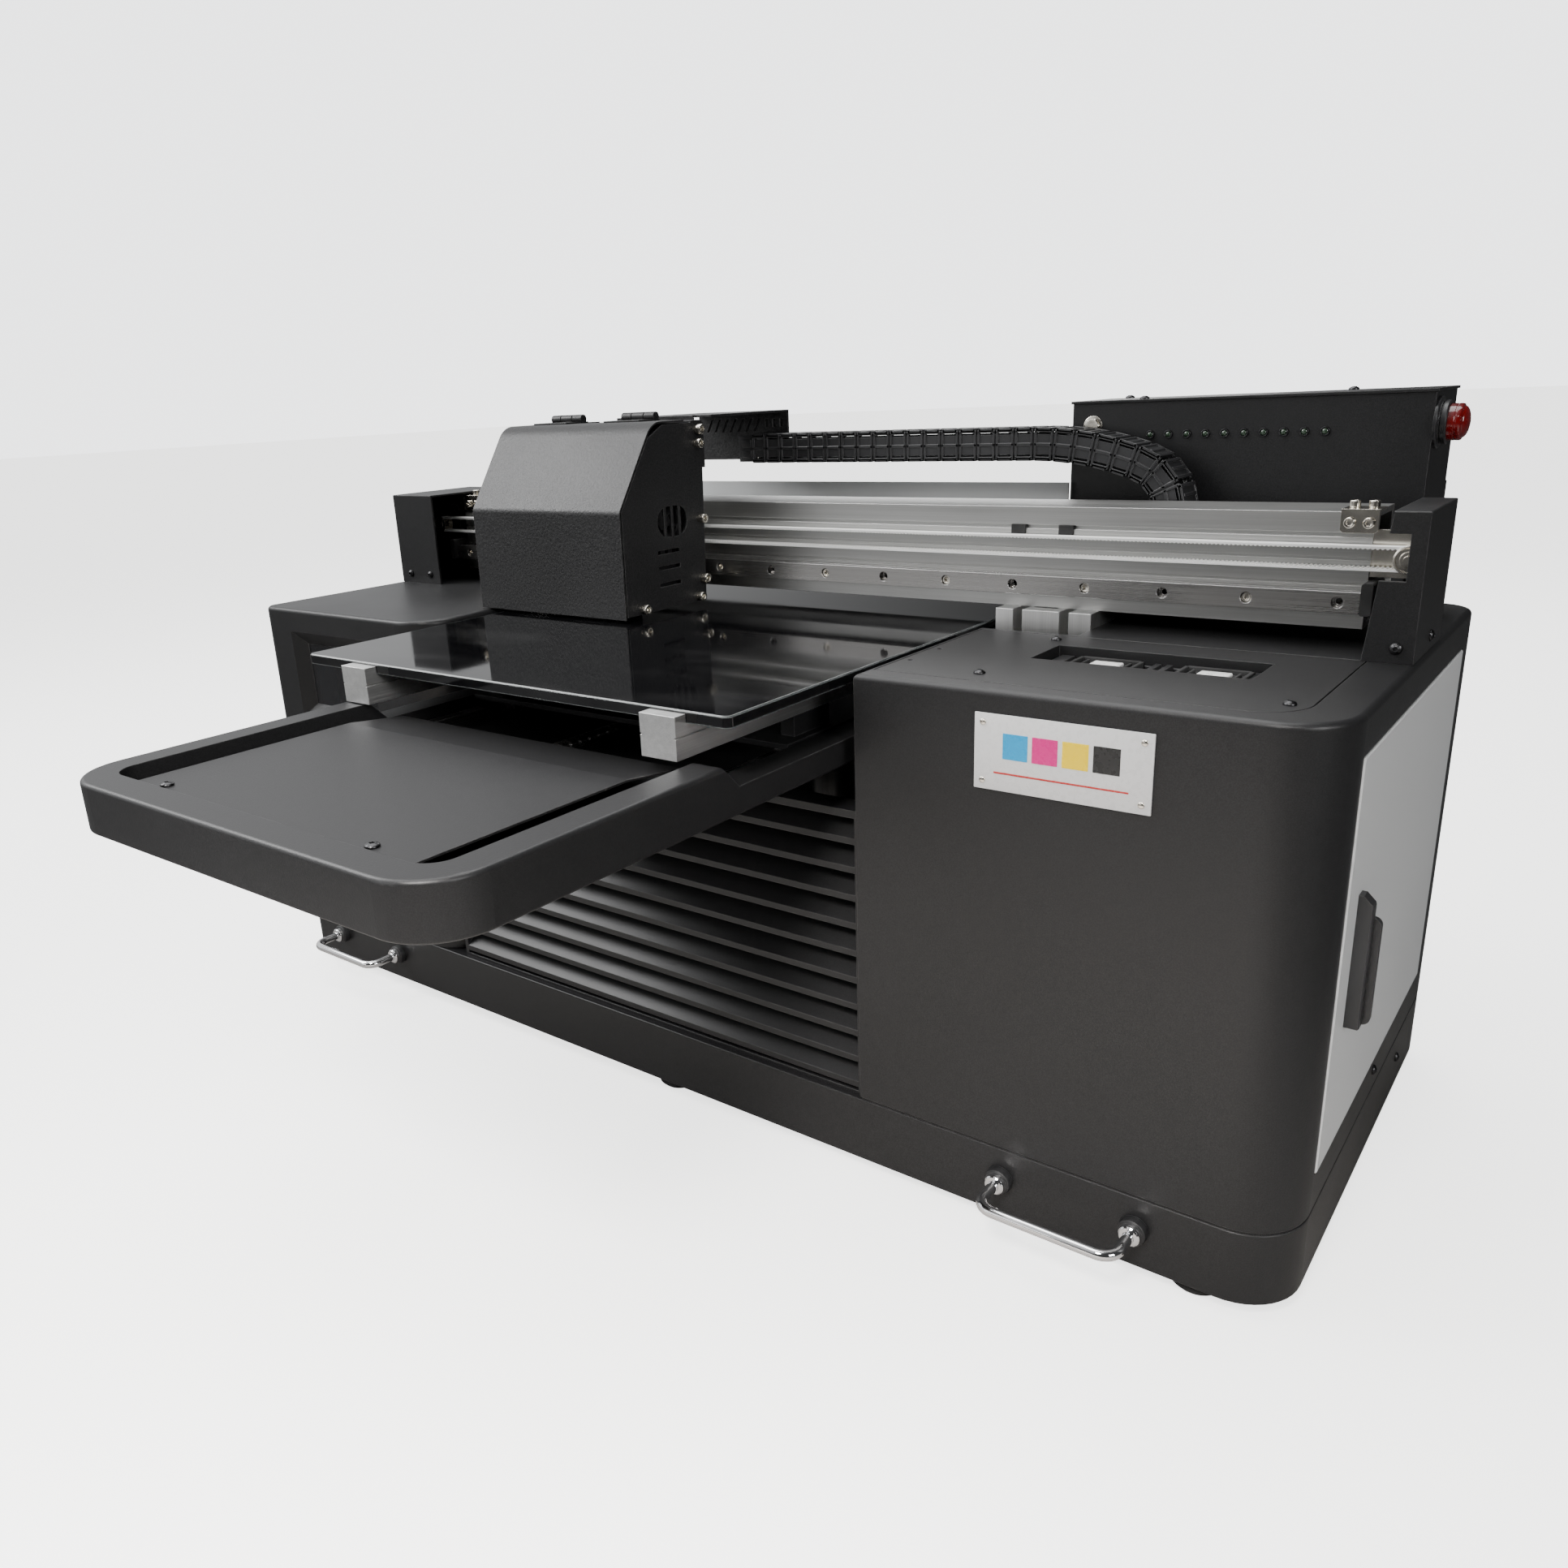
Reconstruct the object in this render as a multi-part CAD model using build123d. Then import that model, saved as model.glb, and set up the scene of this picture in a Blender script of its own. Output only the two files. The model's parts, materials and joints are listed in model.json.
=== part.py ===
from build123d import *
import os
from math import cos, degrees, radians, sin

# Flatbed UV printer, millimetres.  X runs along the gantry (+X is the capping side), +Y goes to the
# rear and +Z up.  The origin is the middle of the footprint on the floor.

# ---- driving dimensions -------------------------------------------------------------------------
WIDTH = 1040
DEPTH = 794
FOOT_H = 12
PLINTH_TOP = 65
CAB_TOP = 400
SHEET = 2

HALF_W = WIDTH / 2
REAR = DEPTH / 2
TRAY_FRONT = -DEPTH / 2
FRONT = -33                 # front face of the plinth and of both cabinets
GAP_LEFT = -261             # inner face of the left cabinet
GAP_RIGHT = 207             # inner face of the right cabinet
FRONT_R = 42
LEFT_FRONT_R = 12              # the left front corner is tighter than the right one
REAR_R = 28
SEAM = 1
EDGE_R = 4                  # rounding of the folded cabinet tops

# Bed: the tray between the cabinets that carries the table and goes down for thick media.
TRAY_X0 = -189
TRAY_X1 = 195
TRAY_REAR = 370
TRAY_Z0 = 331
TRAY_TOP = 366
TRAY_LOW_TOP = 350
RIM = 24
PAN_T = 3
RAIL_XS = (-150, 156)
LIFT_Y = 165
LIFT_X = 3
GUIDE_XS = (-140, 146)
GUIDE_YS = (30, 300)
ROD_TOP = 298

# Table
TABLE_X0 = -248
TABLE_X1 = 197
TABLE_Y0 = -160
TABLE_Y1 = 270
TABLE_TOP = 398
GLASS_T = 8
BAR_Z0 = 367
BAR_CENTRES = (-171, 148)
BAR_W = 30
BALL_SCREW_Z = 341
BALL_SCREW_R = 5

# Gantry
BEAM_X0 = -457
BEAM_X1 = 477
BEAM_Y0 = 196
BEAM_Y1 = 256
BEAM_Z0 = 412
BEAM_TOP = 491
RAIL_Z0 = 424
RAIL_H = 15
RAIL_Y0 = 181
RAIL_PITCH = 60
RAIL_HOLE_X = -18
RAIL_SINK = 6
BELT_Z = 461.5
BELT_R = 6.75
BELT_T = 1.5
BELT_Y0 = 184
BELT_Y1 = 194
DRIVE_X = -488
IDLER_X = 502
COVER_TOP = 497
COVER_FRONT = 146

# Carriage
CARR_X0 = -274
CARR_X1 = -84
CARR_Z0 = 401
CARR_FRONT = 53
CARR_BEND_Z = 494
CARR_SLOPE_Y = 103
CARR_TOP = 567
CARR_MID = (CARR_X0 + CARR_X1) / 2
HEAD_PITCH = 74
HEAD_Y = 90
HINGE_Y = 152
HINGE_Z = 571
HINGE_XS = (-234, -141)

# Capping station, reached by the heads at the right end of their travel
CAP_X0 = 292
CAP_X1 = 442
CAP_Y0 = 65
CAP_Y1 = 115
CAP_PIN_XS = (CAP_X0 + 20, CAP_X1 - 20)
CAP_PIN_R = 4
TUB_Z = 358
TUB_T = 3

# Electronics box
BOX_X0 = 215
BOX_X1 = 487
BOX_Y0 = 306
BOX_Y1 = 392
BOX_TOP = 567
BUTTON_Y = 321
BUTTON_Z = 543

# Drag chain: width, height and the path of its bend
CHAIN_Y0 = 261
CHAIN_W = 34
CHAIN_H = 27
CHAIN_Z = 535
CHAIN_START = -96
CHAIN_DROP_X = 225
DROP_R = 140
DROP_DEG = 30
BEND_R = 40
CHAIN_END = -100
LINK_PITCH = 17.5

# Doors
DOOR_Y0 = 12
DOOR_Y1 = 349
DOOR_Z0 = 97
DOOR_Z1 = 373
DOOR_T = 9
DOOR_PROUD = 1
PIVOT_X = 514.5
PIVOT_Y = 343.5

PIVOT_R = 2
PIVOT_L = 3

# Fasteners
SCREW_HEAD_R = 4
SCREW_HEAD_H = 2.5
SCREW_R = 1.8
SCREW_HOLE_R = 2
BAY_SCREWS = ((282, 7), (478, 11), (282, 132))
LID_SCREWS = ((235, 382), (272, 316), (416, 382))
TRAY_SCREWS = ((-113, -361), (106, -361))
CABINET_SIDE_SCREW = (187, 84)
PLINTH_SIDE_SCREW = (294, 42)
COVER_SCREW_XS = (-502, -468, 507)
COVER_SIDE_SCREW_Y = 200
CARRIAGE_BOLTS = ((163, 558), (161, 546), (161, 479), (161, 424), (153, 408), (75, 408))

RUN = 0.05                  # radial clearance of everything that turns or slides in a bore

os.makedirs("parts", exist_ok=True)


# ---- helpers ------------------------------------------------------------------------------------
def block(x0, x1, y0, y1, z0, z1):
    """Box between two corners."""
    return Pos((x0 + x1) / 2, (y0 + y1) / 2, (z0 + z1) / 2) * Box(x1 - x0, y1 - y0, z1 - z0)


def rod_z(x, y, z0, z1, r):
    return Pos(x, y, (z0 + z1) / 2) * Cylinder(r, z1 - z0)


def rod_y(x, z, y0, y1, r):
    return Pos(x, (y0 + y1) / 2, z) * Rot(90, 0, 0) * Cylinder(r, y1 - y0)


def rod_x(y, z, x0, x1, r):
    return Pos((x0 + x1) / 2, y, z) * Rot(0, 90, 0) * Cylinder(r, x1 - x0)


def upright(x0, x1, y0, y1, z0, z1, corners):
    """Block with rounded vertical edges; corners maps "fl", "fr", "rl", "rr" to a radius."""
    solid = block(x0, x1, y0, y1, z0, z1)
    spots = {"fl": (x0, y0), "fr": (x1, y0), "rl": (x0, y1), "rr": (x1, y1)}
    for name, radius in corners.items():
        x, y = spots[name]
        picked = [e for e in solid.edges().filter_by(Axis.Z)
                  if abs(e.center().X - x) < 0.01 and abs(e.center().Y - y) < 0.01]
        solid = fillet(picked, radius)
    return solid


def soft_top(solid, radius):
    """Round all edges of the topmost face."""
    return fillet(solid.edges().group_by(Axis.Z)[-1], radius)


def yz_prism(points, x0, x1):
    """Extrude a closed outline in the YZ plane from x0 to x1."""
    wire = Polyline(*[(0, y, z) for y, z in points], close=True)
    return Pos(x0, 0, 0) * extrude(make_face(wire), amount=x1 - x0, dir=(1, 0, 0))


def xz_prism(points, y0, y1):
    """Extrude a closed outline in the XZ plane from y0 to y1."""
    wire = Polyline(*[(x, 0, z) for x, z in points], close=True)
    return Pos(0, y0, 0) * extrude(make_face(wire), amount=y1 - y0, dir=(0, 1, 0))


def mirrored(shape):
    return mirror(shape, about=Plane.YZ)


def save(name, *shapes):
    """Write one node; several shapes become a group of separate solids."""
    shape = shapes[0] if len(shapes) == 1 else Compound(children=list(shapes))
    export_step(shape, f"parts/{name}.step")


def cap_screw(x, y, z, axis, head_r, head_h, shank_r, shank_l):
    """Socket head screw with its head standing out of (x, y, z) along +axis or -axis."""
    makers = {"x": (rod_x, (y, z), x), "y": (rod_y, (x, z), y), "z": (rod_z, (x, y), z)}
    maker, place, at = makers[axis[1]]
    sign = 1 if axis[0] == "+" else -1
    head = maker(*place, *sorted((at, at + sign * head_h)), head_r)
    socket = maker(*place, *sorted((at + sign * head_h / 2, at + sign * head_h)), head_r * 0.5)
    shank = maker(*place, *sorted((at, at - sign * shank_l)), shank_r)
    return head - socket + shank


# ---- base, cabinets and panels ------------------------------------------------------------------
def make_plinth():
    def plan(inset, z0, z1):
        corners = {"fl": LEFT_FRONT_R, "fr": FRONT_R, "rl": REAR_R, "rr": REAR_R}
        radii = {name: max(r - inset, 1) for name, r in corners.items()}
        return upright(-HALF_W + inset, HALF_W - inset, FRONT + inset, REAR - inset, z0, z1, radii)
    flange = 45
    solid = soft_top(plan(0, FOOT_H, PLINTH_TOP), SEAM) - plan(SHEET, FOOT_H + PAN_T, PLINTH_TOP - PAN_T)
    return solid - plan(flange, FOOT_H, FOOT_H + PAN_T)


def make_feet():
    inset = 25
    feet = []
    for x in (-HALF_W + 60, 0, HALF_W - 60):
        for y in (FRONT + inset, REAR - inset):
            foot = rod_z(x, y, 0, FOOT_H, 19)
            feet.append(chamfer(foot.edges().filter_by(GeomType.CIRCLE).sort_by(Axis.Z)[0], 3))
    return feet


def cabinet(x0, x1, corners):
    """Sheet metal cabinet open at the bottom, set in a little where it stands on the plinth."""
    def plan(inset, z0, z1):
        radii = {name: r - inset for name, r in corners.items()}
        return upright(x0 + inset, x1 - inset, FRONT + inset, REAR - inset, z0, z1, radii)
    body = soft_top(plan(0, PLINTH_TOP + 2 * SEAM, CAB_TOP), EDGE_R)
    body += plan(SEAM, PLINTH_TOP, PLINTH_TOP + 2 * SEAM)
    return body - plan(SHEET, PLINTH_TOP, CAB_TOP - SHEET)


DOOR_GAP = 1
DOOR_REAR_GAP = 2.5
FRAME_T = 2
FRAME_X0 = 505
LIP = 12


def add_door_frame(shell):
    """Door opening in the right-hand wall with a rebate, a stop lip and pivot holes."""
    y0 = DOOR_Y0 - DOOR_GAP
    y1 = DOOR_Y1 + DOOR_REAR_GAP
    z0 = DOOR_Z0 - DOOR_GAP
    z1 = DOOR_Z1 + DOOR_GAP
    inner = HALF_W - SHEET
    tube = block(FRAME_X0, inner, y0 - FRAME_T, y1 + FRAME_T, z0 - FRAME_T, z1 + FRAME_T)
    tube -= block(FRAME_X0, inner, y0, y1, z0, z1)
    lip = block(FRAME_X0, FRAME_X0 + FRAME_T, y0, y1, z0, z1)
    lip -= block(FRAME_X0, FRAME_X0 + FRAME_T, y0 + LIP, y1 - LIP, z0 + LIP, z1 - LIP)
    shell = shell - block(inner - 1, HALF_W + 1, y0, y1, z0, z1) + tube + lip
    return shell - rod_z(PIVOT_X, PIVOT_Y, z0 - PIVOT_L, z1 + PIVOT_L, PIVOT_R + RUN)


POST_X0 = 209.5
POST_X1 = 289.5
POST_Y0 = 178
POST_Y1 = 254
POST_GAP = 0.5
POST_HOLE_Y0 = 153
POST_HOLE_DEPTH = 12
LEFT_POST_SHIFT = -577      # the left post stands this far from the right one


def post_hole(shift, margin):
    """Open strip of a cabinet top in front of and around a post; margin widens it to the left."""
    return block(POST_X0 + shift - margin, POST_X1 + shift + POST_GAP, POST_HOLE_Y0,
                 POST_Y1 + POST_GAP, CAB_TOP - POST_HOLE_DEPTH, CAB_TOP + 1)


BAY_X0 = 213
BAY_X1 = 490
BAY_Y0 = -14
BAY_Y1 = 148
BAY_R = 30
BAY_GAP = 1.2
BAY_LEDGE = 8
INLET_X0 = 300
INLET_X1 = 350
INLET_Z0 = 100
INLET_Z1 = 132


def make_right_cabinet():
    shell = cabinet(GAP_RIGHT, HALF_W, {"fr": FRONT_R, "rr": REAR_R})
    ledge_z = CAB_TOP - 2 * SHEET
    ledge = upright(BAY_X0 - SHEET, BAY_X1 + 6, BAY_Y0 - 6, BAY_Y1 + 4, ledge_z, CAB_TOP - SHEET,
                    {"fr": BAY_R + 5})
    opening = upright(BAY_X0 - BAY_GAP, BAY_X1 + BAY_GAP, BAY_Y0 - BAY_GAP, BAY_Y1 + BAY_GAP,
                      CAB_TOP - SHEET, CAB_TOP, {"fr": BAY_R + BAY_GAP})
    through = upright(BAY_X0 + BAY_LEDGE, BAY_X1 - BAY_LEDGE, BAY_Y0 + BAY_LEDGE, BAY_Y1 - BAY_LEDGE,
                      ledge_z, CAB_TOP, {"fr": BAY_R - BAY_LEDGE})
    shell = shell + ledge - opening - through
    shell = add_door_frame(shell) - post_hole(0, POST_X0 - GAP_RIGHT + 1)
    shell -= block(INLET_X0, INLET_X1, REAR - SHEET, REAR, INLET_Z0, INLET_Z1)
    return shell - rod_x(*CABINET_SIDE_SCREW, HALF_W - SHEET, HALF_W, SCREW_HOLE_R)


WIN_X0 = -476
WIN_X1 = -343
WIN_Z0 = 286
WIN_Z1 = 377
WIN_BEVEL = 14
WIN_DEPTH = 10
GLASS = 2
SHELF_Z = 284
SHELF_Y0 = 2
SHELF_Y1 = 76
INK_X0 = -486
INK_PITCH = 32
INK_TANKS = 6
INK_HALF_W = 14
INK_H = 80


def window_bevel(grow, y_front, y_back):
    """Frustum between the outer and the inner window rectangle, grown by the sheet thickness."""
    centre_x = (WIN_X0 + WIN_X1) / 2
    centre_z = (WIN_Z0 + WIN_Z1) / 2
    wide = WIN_X1 - WIN_X0 + 2 * grow
    tall = WIN_Z1 - WIN_Z0 + 2 * grow
    outer = Plane(origin=(centre_x, y_front, centre_z), x_dir=(1, 0, 0), z_dir=(0, -1, 0))
    inner = Plane(origin=(centre_x, y_back, centre_z), x_dir=(1, 0, 0), z_dir=(0, -1, 0))
    return loft([outer * Rectangle(wide, tall),
                 inner * Rectangle(wide - 2 * WIN_BEVEL, tall - 2 * WIN_BEVEL)])


def make_left_cabinet():
    shell = cabinet(-HALF_W, GAP_LEFT, {"fl": LEFT_FRONT_R, "fr": 40, "rl": REAR_R})
    back = FRONT + WIN_DEPTH
    shell += window_bevel(SHEET, FRONT, back)
    shell -= window_bevel(0, FRONT, back)
    shell += block(-FRAME_X0, GAP_LEFT - SHEET, SHELF_Y0, SHELF_Y1, SHELF_Z, SHELF_Z + SHEET)
    shell = mirrored(add_door_frame(mirrored(shell))) - post_hole(LEFT_POST_SHIFT, POST_GAP)
    return shell


def make_window():
    return block(WIN_X0 + WIN_BEVEL - 3, WIN_X1 - WIN_BEVEL + 3, FRONT + WIN_DEPTH,
                 FRONT + WIN_DEPTH + GLASS, WIN_Z0 + WIN_BEVEL - 3, WIN_Z1 - WIN_BEVEL + 3)


def make_ink_bottles():
    bottles = []
    z0 = SHELF_Z + SHEET
    z1 = z0 + INK_H
    y0 = SHELF_Y0 + 4
    y1 = SHELF_Y1 - 6
    for i in range(INK_TANKS):
        x = INK_X0 + INK_PITCH * i
        tank = block(x - INK_HALF_W, x + INK_HALF_W, y0, y1, z0, z1)
        tank = fillet(tank.edges().filter_by(Axis.Z), 4)
        cap = rod_z(x, (y0 + y1) / 2, z1, z1 + 14, 9)
        bottles.append(tank + cap)
    return bottles


def make_bay_panel():
    """Lift-out top panel with the capping opening and the tub below it."""
    panel = upright(BAY_X0, BAY_X1, BAY_Y0, BAY_Y1, CAB_TOP - SHEET, CAB_TOP, {"fr": BAY_R})
    tub = block(CAP_X0 - TUB_T, CAP_X1 + TUB_T, CAP_Y0 - TUB_T, CAP_Y1 + TUB_T, TUB_Z, CAB_TOP - SHEET)
    hollow = block(CAP_X0, CAP_X1, CAP_Y0, CAP_Y1, TUB_Z + TUB_T, CAB_TOP)
    panel = panel + tub - hollow
    for x in CAP_PIN_XS:
        panel -= rod_z(x, HEAD_Y, TUB_Z, TUB_Z + TUB_T, CAP_PIN_R + RUN)
    for x, y in BAY_SCREWS + ((BAY_X0 + 6, 67), (BAY_X0 + 6, 24)):
        panel -= rod_z(x, y, CAB_TOP - SHEET, CAB_TOP, SCREW_HOLE_R)
    return panel


CAP_FRAME_Z0 = 380
CAP_FRAME_Z1 = 394
CAP_PAD_Z0 = 386
CAP_PAD_TOP = 396
CAP_HALF_X = 23
CAP_HALF_Y = 16
CAP_LIP = 4
CAP_SHIFT = 6


def make_capping_station():
    """Frame on two guide pins with a rimmed cap pad under each print head."""
    frame = block(CAP_X0 + 4, CAP_X1 - 4, CAP_Y0 + 4, CAP_Y1 - 4, CAP_FRAME_Z0, CAP_FRAME_Z1)
    for x in CAP_PIN_XS:
        frame += rod_z(x, HEAD_Y, TUB_Z - 6, CAP_FRAME_Z0, CAP_PIN_R)
    pads = []
    for side in (-1, 1):
        x = (CAP_X0 + CAP_X1) / 2 + CAP_SHIFT + side * HEAD_PITCH / 2

        def around(grow, z0, z1):
            return block(x - CAP_HALF_X - grow, x + CAP_HALF_X + grow, HEAD_Y - CAP_HALF_Y - grow,
                         HEAD_Y + CAP_HALF_Y + grow, z0, z1)
        frame -= around(1, CAP_PAD_Z0, CAP_FRAME_Z1)
        pads.append(around(0, CAP_PAD_Z0, CAP_PAD_TOP) - around(-CAP_LIP, CAP_PAD_TOP - 3, CAP_PAD_TOP))
    return [frame] + pads


LOUVRES = 10
LOUVRE_PITCH = 22.3
LOUVRE_TOP = 298
PANEL_GAP = 0.5


def make_louvre_panel():
    """Ventilated front panel between the cabinets, with sloped slats that end in a folded lip."""
    x0 = GAP_LEFT + PANEL_GAP
    x1 = GAP_RIGHT - PANEL_GAP
    y0 = FRONT + 5
    y1 = y0 + 22
    stile = 4
    panel = block(x0, x1, y0, y1, PLINTH_TOP, LOUVRE_TOP)
    panel -= block(x0 + stile, x1 - stile, y0, y1, PLINTH_TOP + 3, LOUVRE_TOP - 6)
    for i in range(LOUVRES):
        z = PLINTH_TOP + 6 + i * LOUVRE_PITCH
        slat = [(y0, z), (y0 + 1.5, z), (y0 + 1.5, z + 4), (y0 + 20, z + 20), (y0 + 18, z + 20),
                (y0, z + 5)]
        panel += yz_prism(slat, x0 + stile - 1, x1 - stile + 1)
    return panel


def make_rear_panel():
    y1 = REAR - 3
    return block(GAP_LEFT + PANEL_GAP, GAP_RIGHT - PANEL_GAP, y1 - SHEET, y1, PLINTH_TOP, CAB_TOP - SHEET)


def make_door():
    """Right-hand door: a shallow sheet pan that turns on two pins near its rear edge."""
    outer = HALF_W + DOOR_PROUD
    door = block(HALF_W - DOOR_T, outer, DOOR_Y0, DOOR_Y1, DOOR_Z0, DOOR_Z1)
    rear_edge = [e for e in door.edges().filter_by(Axis.Z)
                 if e.center().X > HALF_W - 1 and e.center().Y > DOOR_Y1 - 1]
    door = fillet(rear_edge, 6)
    door = chamfer(door.edges().group_by(Axis.X)[-1], 0.7)
    door -= block(HALF_W - DOOR_T, HALF_W - SHEET, DOOR_Y0 + SHEET, PIVOT_Y - 5, DOOR_Z0 + SHEET,
                  DOOR_Z1 - SHEET)
    for z0, z1 in ((DOOR_Z0 - PIVOT_L, DOOR_Z0), (DOOR_Z1, DOOR_Z1 + PIVOT_L)):
        door += rod_z(PIVOT_X, PIVOT_Y, z0, z1, PIVOT_R)
    return door


HANDLE_Y = 46
HANDLE_Z0 = 189
HANDLE_Z1 = 279
HANDLE_OUT = 14
LEVER_TOP = 262


def make_door_handle():
    """Flat latch body with a sloped top, and the slim lever that lies along its rear side."""
    x0 = HALF_W + DOOR_PROUD
    outer = HALF_W + HANDLE_OUT
    body = block(x0, outer - 4, HANDLE_Y - 6, HANDLE_Y + 3.5, HANDLE_Z0, HANDLE_Z1)
    body = chamfer(body.edges().group_by(Axis.X)[-1].group_by(Axis.Z)[-1], 6)
    body = chamfer(body.edges().group_by(Axis.X)[-1], 0.8)
    lever = block(x0 + 2, outer, HANDLE_Y + 3.5, HANDLE_Y + 8, HANDLE_Z0, LEVER_TOP)
    lever = fillet(lever.edges().filter_by(Axis.Y).group_by(Axis.X)[-1], 5)
    return body + lever


GRIP_XS = ((325, 423), (-464, -366))
GRIP_Z = 41
GRIP_OUT = 38
GRIP_R = 4
BOSS_H = 7


def make_front_handles():
    grips = []
    bend = 12
    for x0, x1 in GRIP_XS:
        y0 = FRONT - BOSS_H
        y1 = FRONT - GRIP_OUT
        corners = [(x0, y0, GRIP_Z), (x0, y1, GRIP_Z), (x1, y1, GRIP_Z), (x1, y0, GRIP_Z)]
        path = FilletPolyline(*corners, radius=bend)
        start = Plane(origin=corners[0], z_dir=(0, -1, 0))
        grips.append(sweep(start * Circle(GRIP_R), path=path))
    return grips


def make_handle_bosses():
    bosses = []
    for pair in GRIP_XS:
        for x in pair:
            boss = rod_y(x, GRIP_Z, FRONT - BOSS_H, FRONT, 10)
            bosses.append(chamfer(boss.edges().filter_by(GeomType.CIRCLE).sort_by(Axis.Y)[0], 2))
    return bosses


PLATE_X0 = 300
PLATE_X1 = 417
PLATE_Z0 = 334
PLATE_Z1 = 385
PLATE_T = 1.5
RIVET_INSET = 6


def rivet_spots():
    return [(x, z) for x in (PLATE_X0 + RIVET_INSET, PLATE_X1 - RIVET_INSET)
            for z in (PLATE_Z0 + RIVET_INSET, PLATE_Z1 - RIVET_INSET)]


def make_nameplate():
    plate = block(PLATE_X0, PLATE_X1, FRONT - PLATE_T, FRONT, PLATE_Z0, PLATE_Z1)
    return fillet(plate.edges().filter_by(Axis.Y), 1.5)


def make_power_inlet():
    inlet = block(INLET_X0 + 0.5, INLET_X1 - 0.5, REAR - 30, REAR, INLET_Z0 + 0.5, INLET_Z1 - 0.5)
    socket = block(INLET_X0 + 6, INLET_X0 + 32, REAR - 16, REAR, INLET_Z0 + 7, INLET_Z1 - 7)
    inlet -= socket
    for x in (INLET_X0 + 12, INLET_X0 + 19, INLET_X0 + 26):
        inlet += block(x - 1, x + 1, REAR - 18, REAR - 4, INLET_Z0 + 13, INLET_Z0 + 17)
    rocker = block(INLET_X0 + 36, INLET_X1 - 5, REAR - 2, REAR, INLET_Z0 + 8, INLET_Z1 - 8)
    return inlet - rocker


# ---- gantry -------------------------------------------------------------------------------------
def rail_hole_xs():
    return [RAIL_HOLE_X + RAIL_PITCH * i for i in range(-7, 9)]


def make_beam():
    """Extruded aluminium beam: top band, groove, belt field, rail seat and bottom lip."""
    wall = 4
    groove_z = BEAM_TOP - 17
    field_z = BELT_Z - 3
    outline = [(BEAM_Y0 - 2, BEAM_Z0), (BEAM_Y1, BEAM_Z0), (BEAM_Y1, BEAM_TOP), (BEAM_Y0, BEAM_TOP),
               (BEAM_Y0, groove_z + 3), (BEAM_Y0 + 3, groove_z + 3), (BEAM_Y0 + 3, groove_z),
               (BEAM_Y0, groove_z), (BEAM_Y0, field_z + 2), (BEAM_Y0 + 1.5, field_z + 2),
               (BEAM_Y0 + 1.5, field_z), (BEAM_Y0, field_z),
               (BEAM_Y0, RAIL_Z0 + RAIL_H + 4), (BEAM_Y0 + 1.5, RAIL_Z0 + RAIL_H + 4),
               (BEAM_Y0 + 1.5, RAIL_Z0 + RAIL_H + 2), (BEAM_Y0, RAIL_Z0 + RAIL_H + 2),
               (BEAM_Y0, RAIL_Z0 - 1), (BEAM_Y0 - 2, RAIL_Z0 - 1)]
    beam = yz_prism(outline, BEAM_X0, BEAM_X1)
    mid = (BEAM_Z0 + BEAM_TOP) / 2
    for z0, z1 in ((BEAM_Z0 + wall, mid - wall / 2), (mid + wall / 2, BEAM_TOP - wall)):
        beam -= block(BEAM_X0, BEAM_X1, BEAM_Y0 + wall + 3, BEAM_Y1 - wall, z0, z1)
    for x in rail_hole_xs():
        beam -= rod_y(x, RAIL_Z0 + RAIL_H / 2, BEAM_Y0 - 3, BEAM_Y0 + 8, 2.1)
    return beam


def make_posts():
    """Two extruded posts with slots in the front and rear faces and a hollow core."""
    slot = 30
    slot_half = 4
    wall = 14
    post = block(POST_X0, POST_X1, POST_Y0, POST_Y1, PLINTH_TOP, BEAM_Z0)
    for x in (POST_X0 + 19, POST_X1 - 22):
        for y0, y1 in ((POST_Y0, POST_Y0 + slot), (POST_Y1 - slot, POST_Y1)):
            post -= block(x - slot_half, x + slot_half, y0, y1, PLINTH_TOP, BEAM_Z0)
    post -= block(POST_X0 + 26, POST_X0 + 47, POST_Y0 + wall, POST_Y1 - wall, PLINTH_TOP, BEAM_Z0)
    return [post, Pos(LEFT_POST_SHIFT, 0, 0) * post]


def make_x_rail():
    rail = block(BEAM_X0 + 1, BEAM_X1 - 1, RAIL_Y0, BEAM_Y0, RAIL_Z0, RAIL_Z0 + RAIL_H)
    groove_y = RAIL_Y0 + 5
    for z in (RAIL_Z0, RAIL_Z0 + RAIL_H):
        rail -= block(BEAM_X0, BEAM_X1, groove_y, groove_y + 3, z - 1, z + 1)
    z = RAIL_Z0 + RAIL_H / 2
    for x in rail_hole_xs():
        rail -= rod_y(x, z, RAIL_Y0, BEAM_Y0, 2.3)
        rail -= rod_y(x, z, RAIL_Y0, RAIL_Y0 + RAIL_SINK, SCREW_HEAD_R)
    return rail


def make_rail_screws():
    """Every second hole of the rail carries a screw, its head sunk in the counterbore."""
    z = RAIL_Z0 + RAIL_H / 2
    return [cap_screw(x, RAIL_Y0 + RAIL_SINK, z, "-y", 3.7, 4.5, 2, 16) for x in rail_hole_xs()[::2]]


BRACKET_XS = (-439, 468)
BRACKET_SCREW_DX = (-6, 6)
HEXAGON_AT = (BOX_X0 + 18, BOX_Y0, 547)


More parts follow.
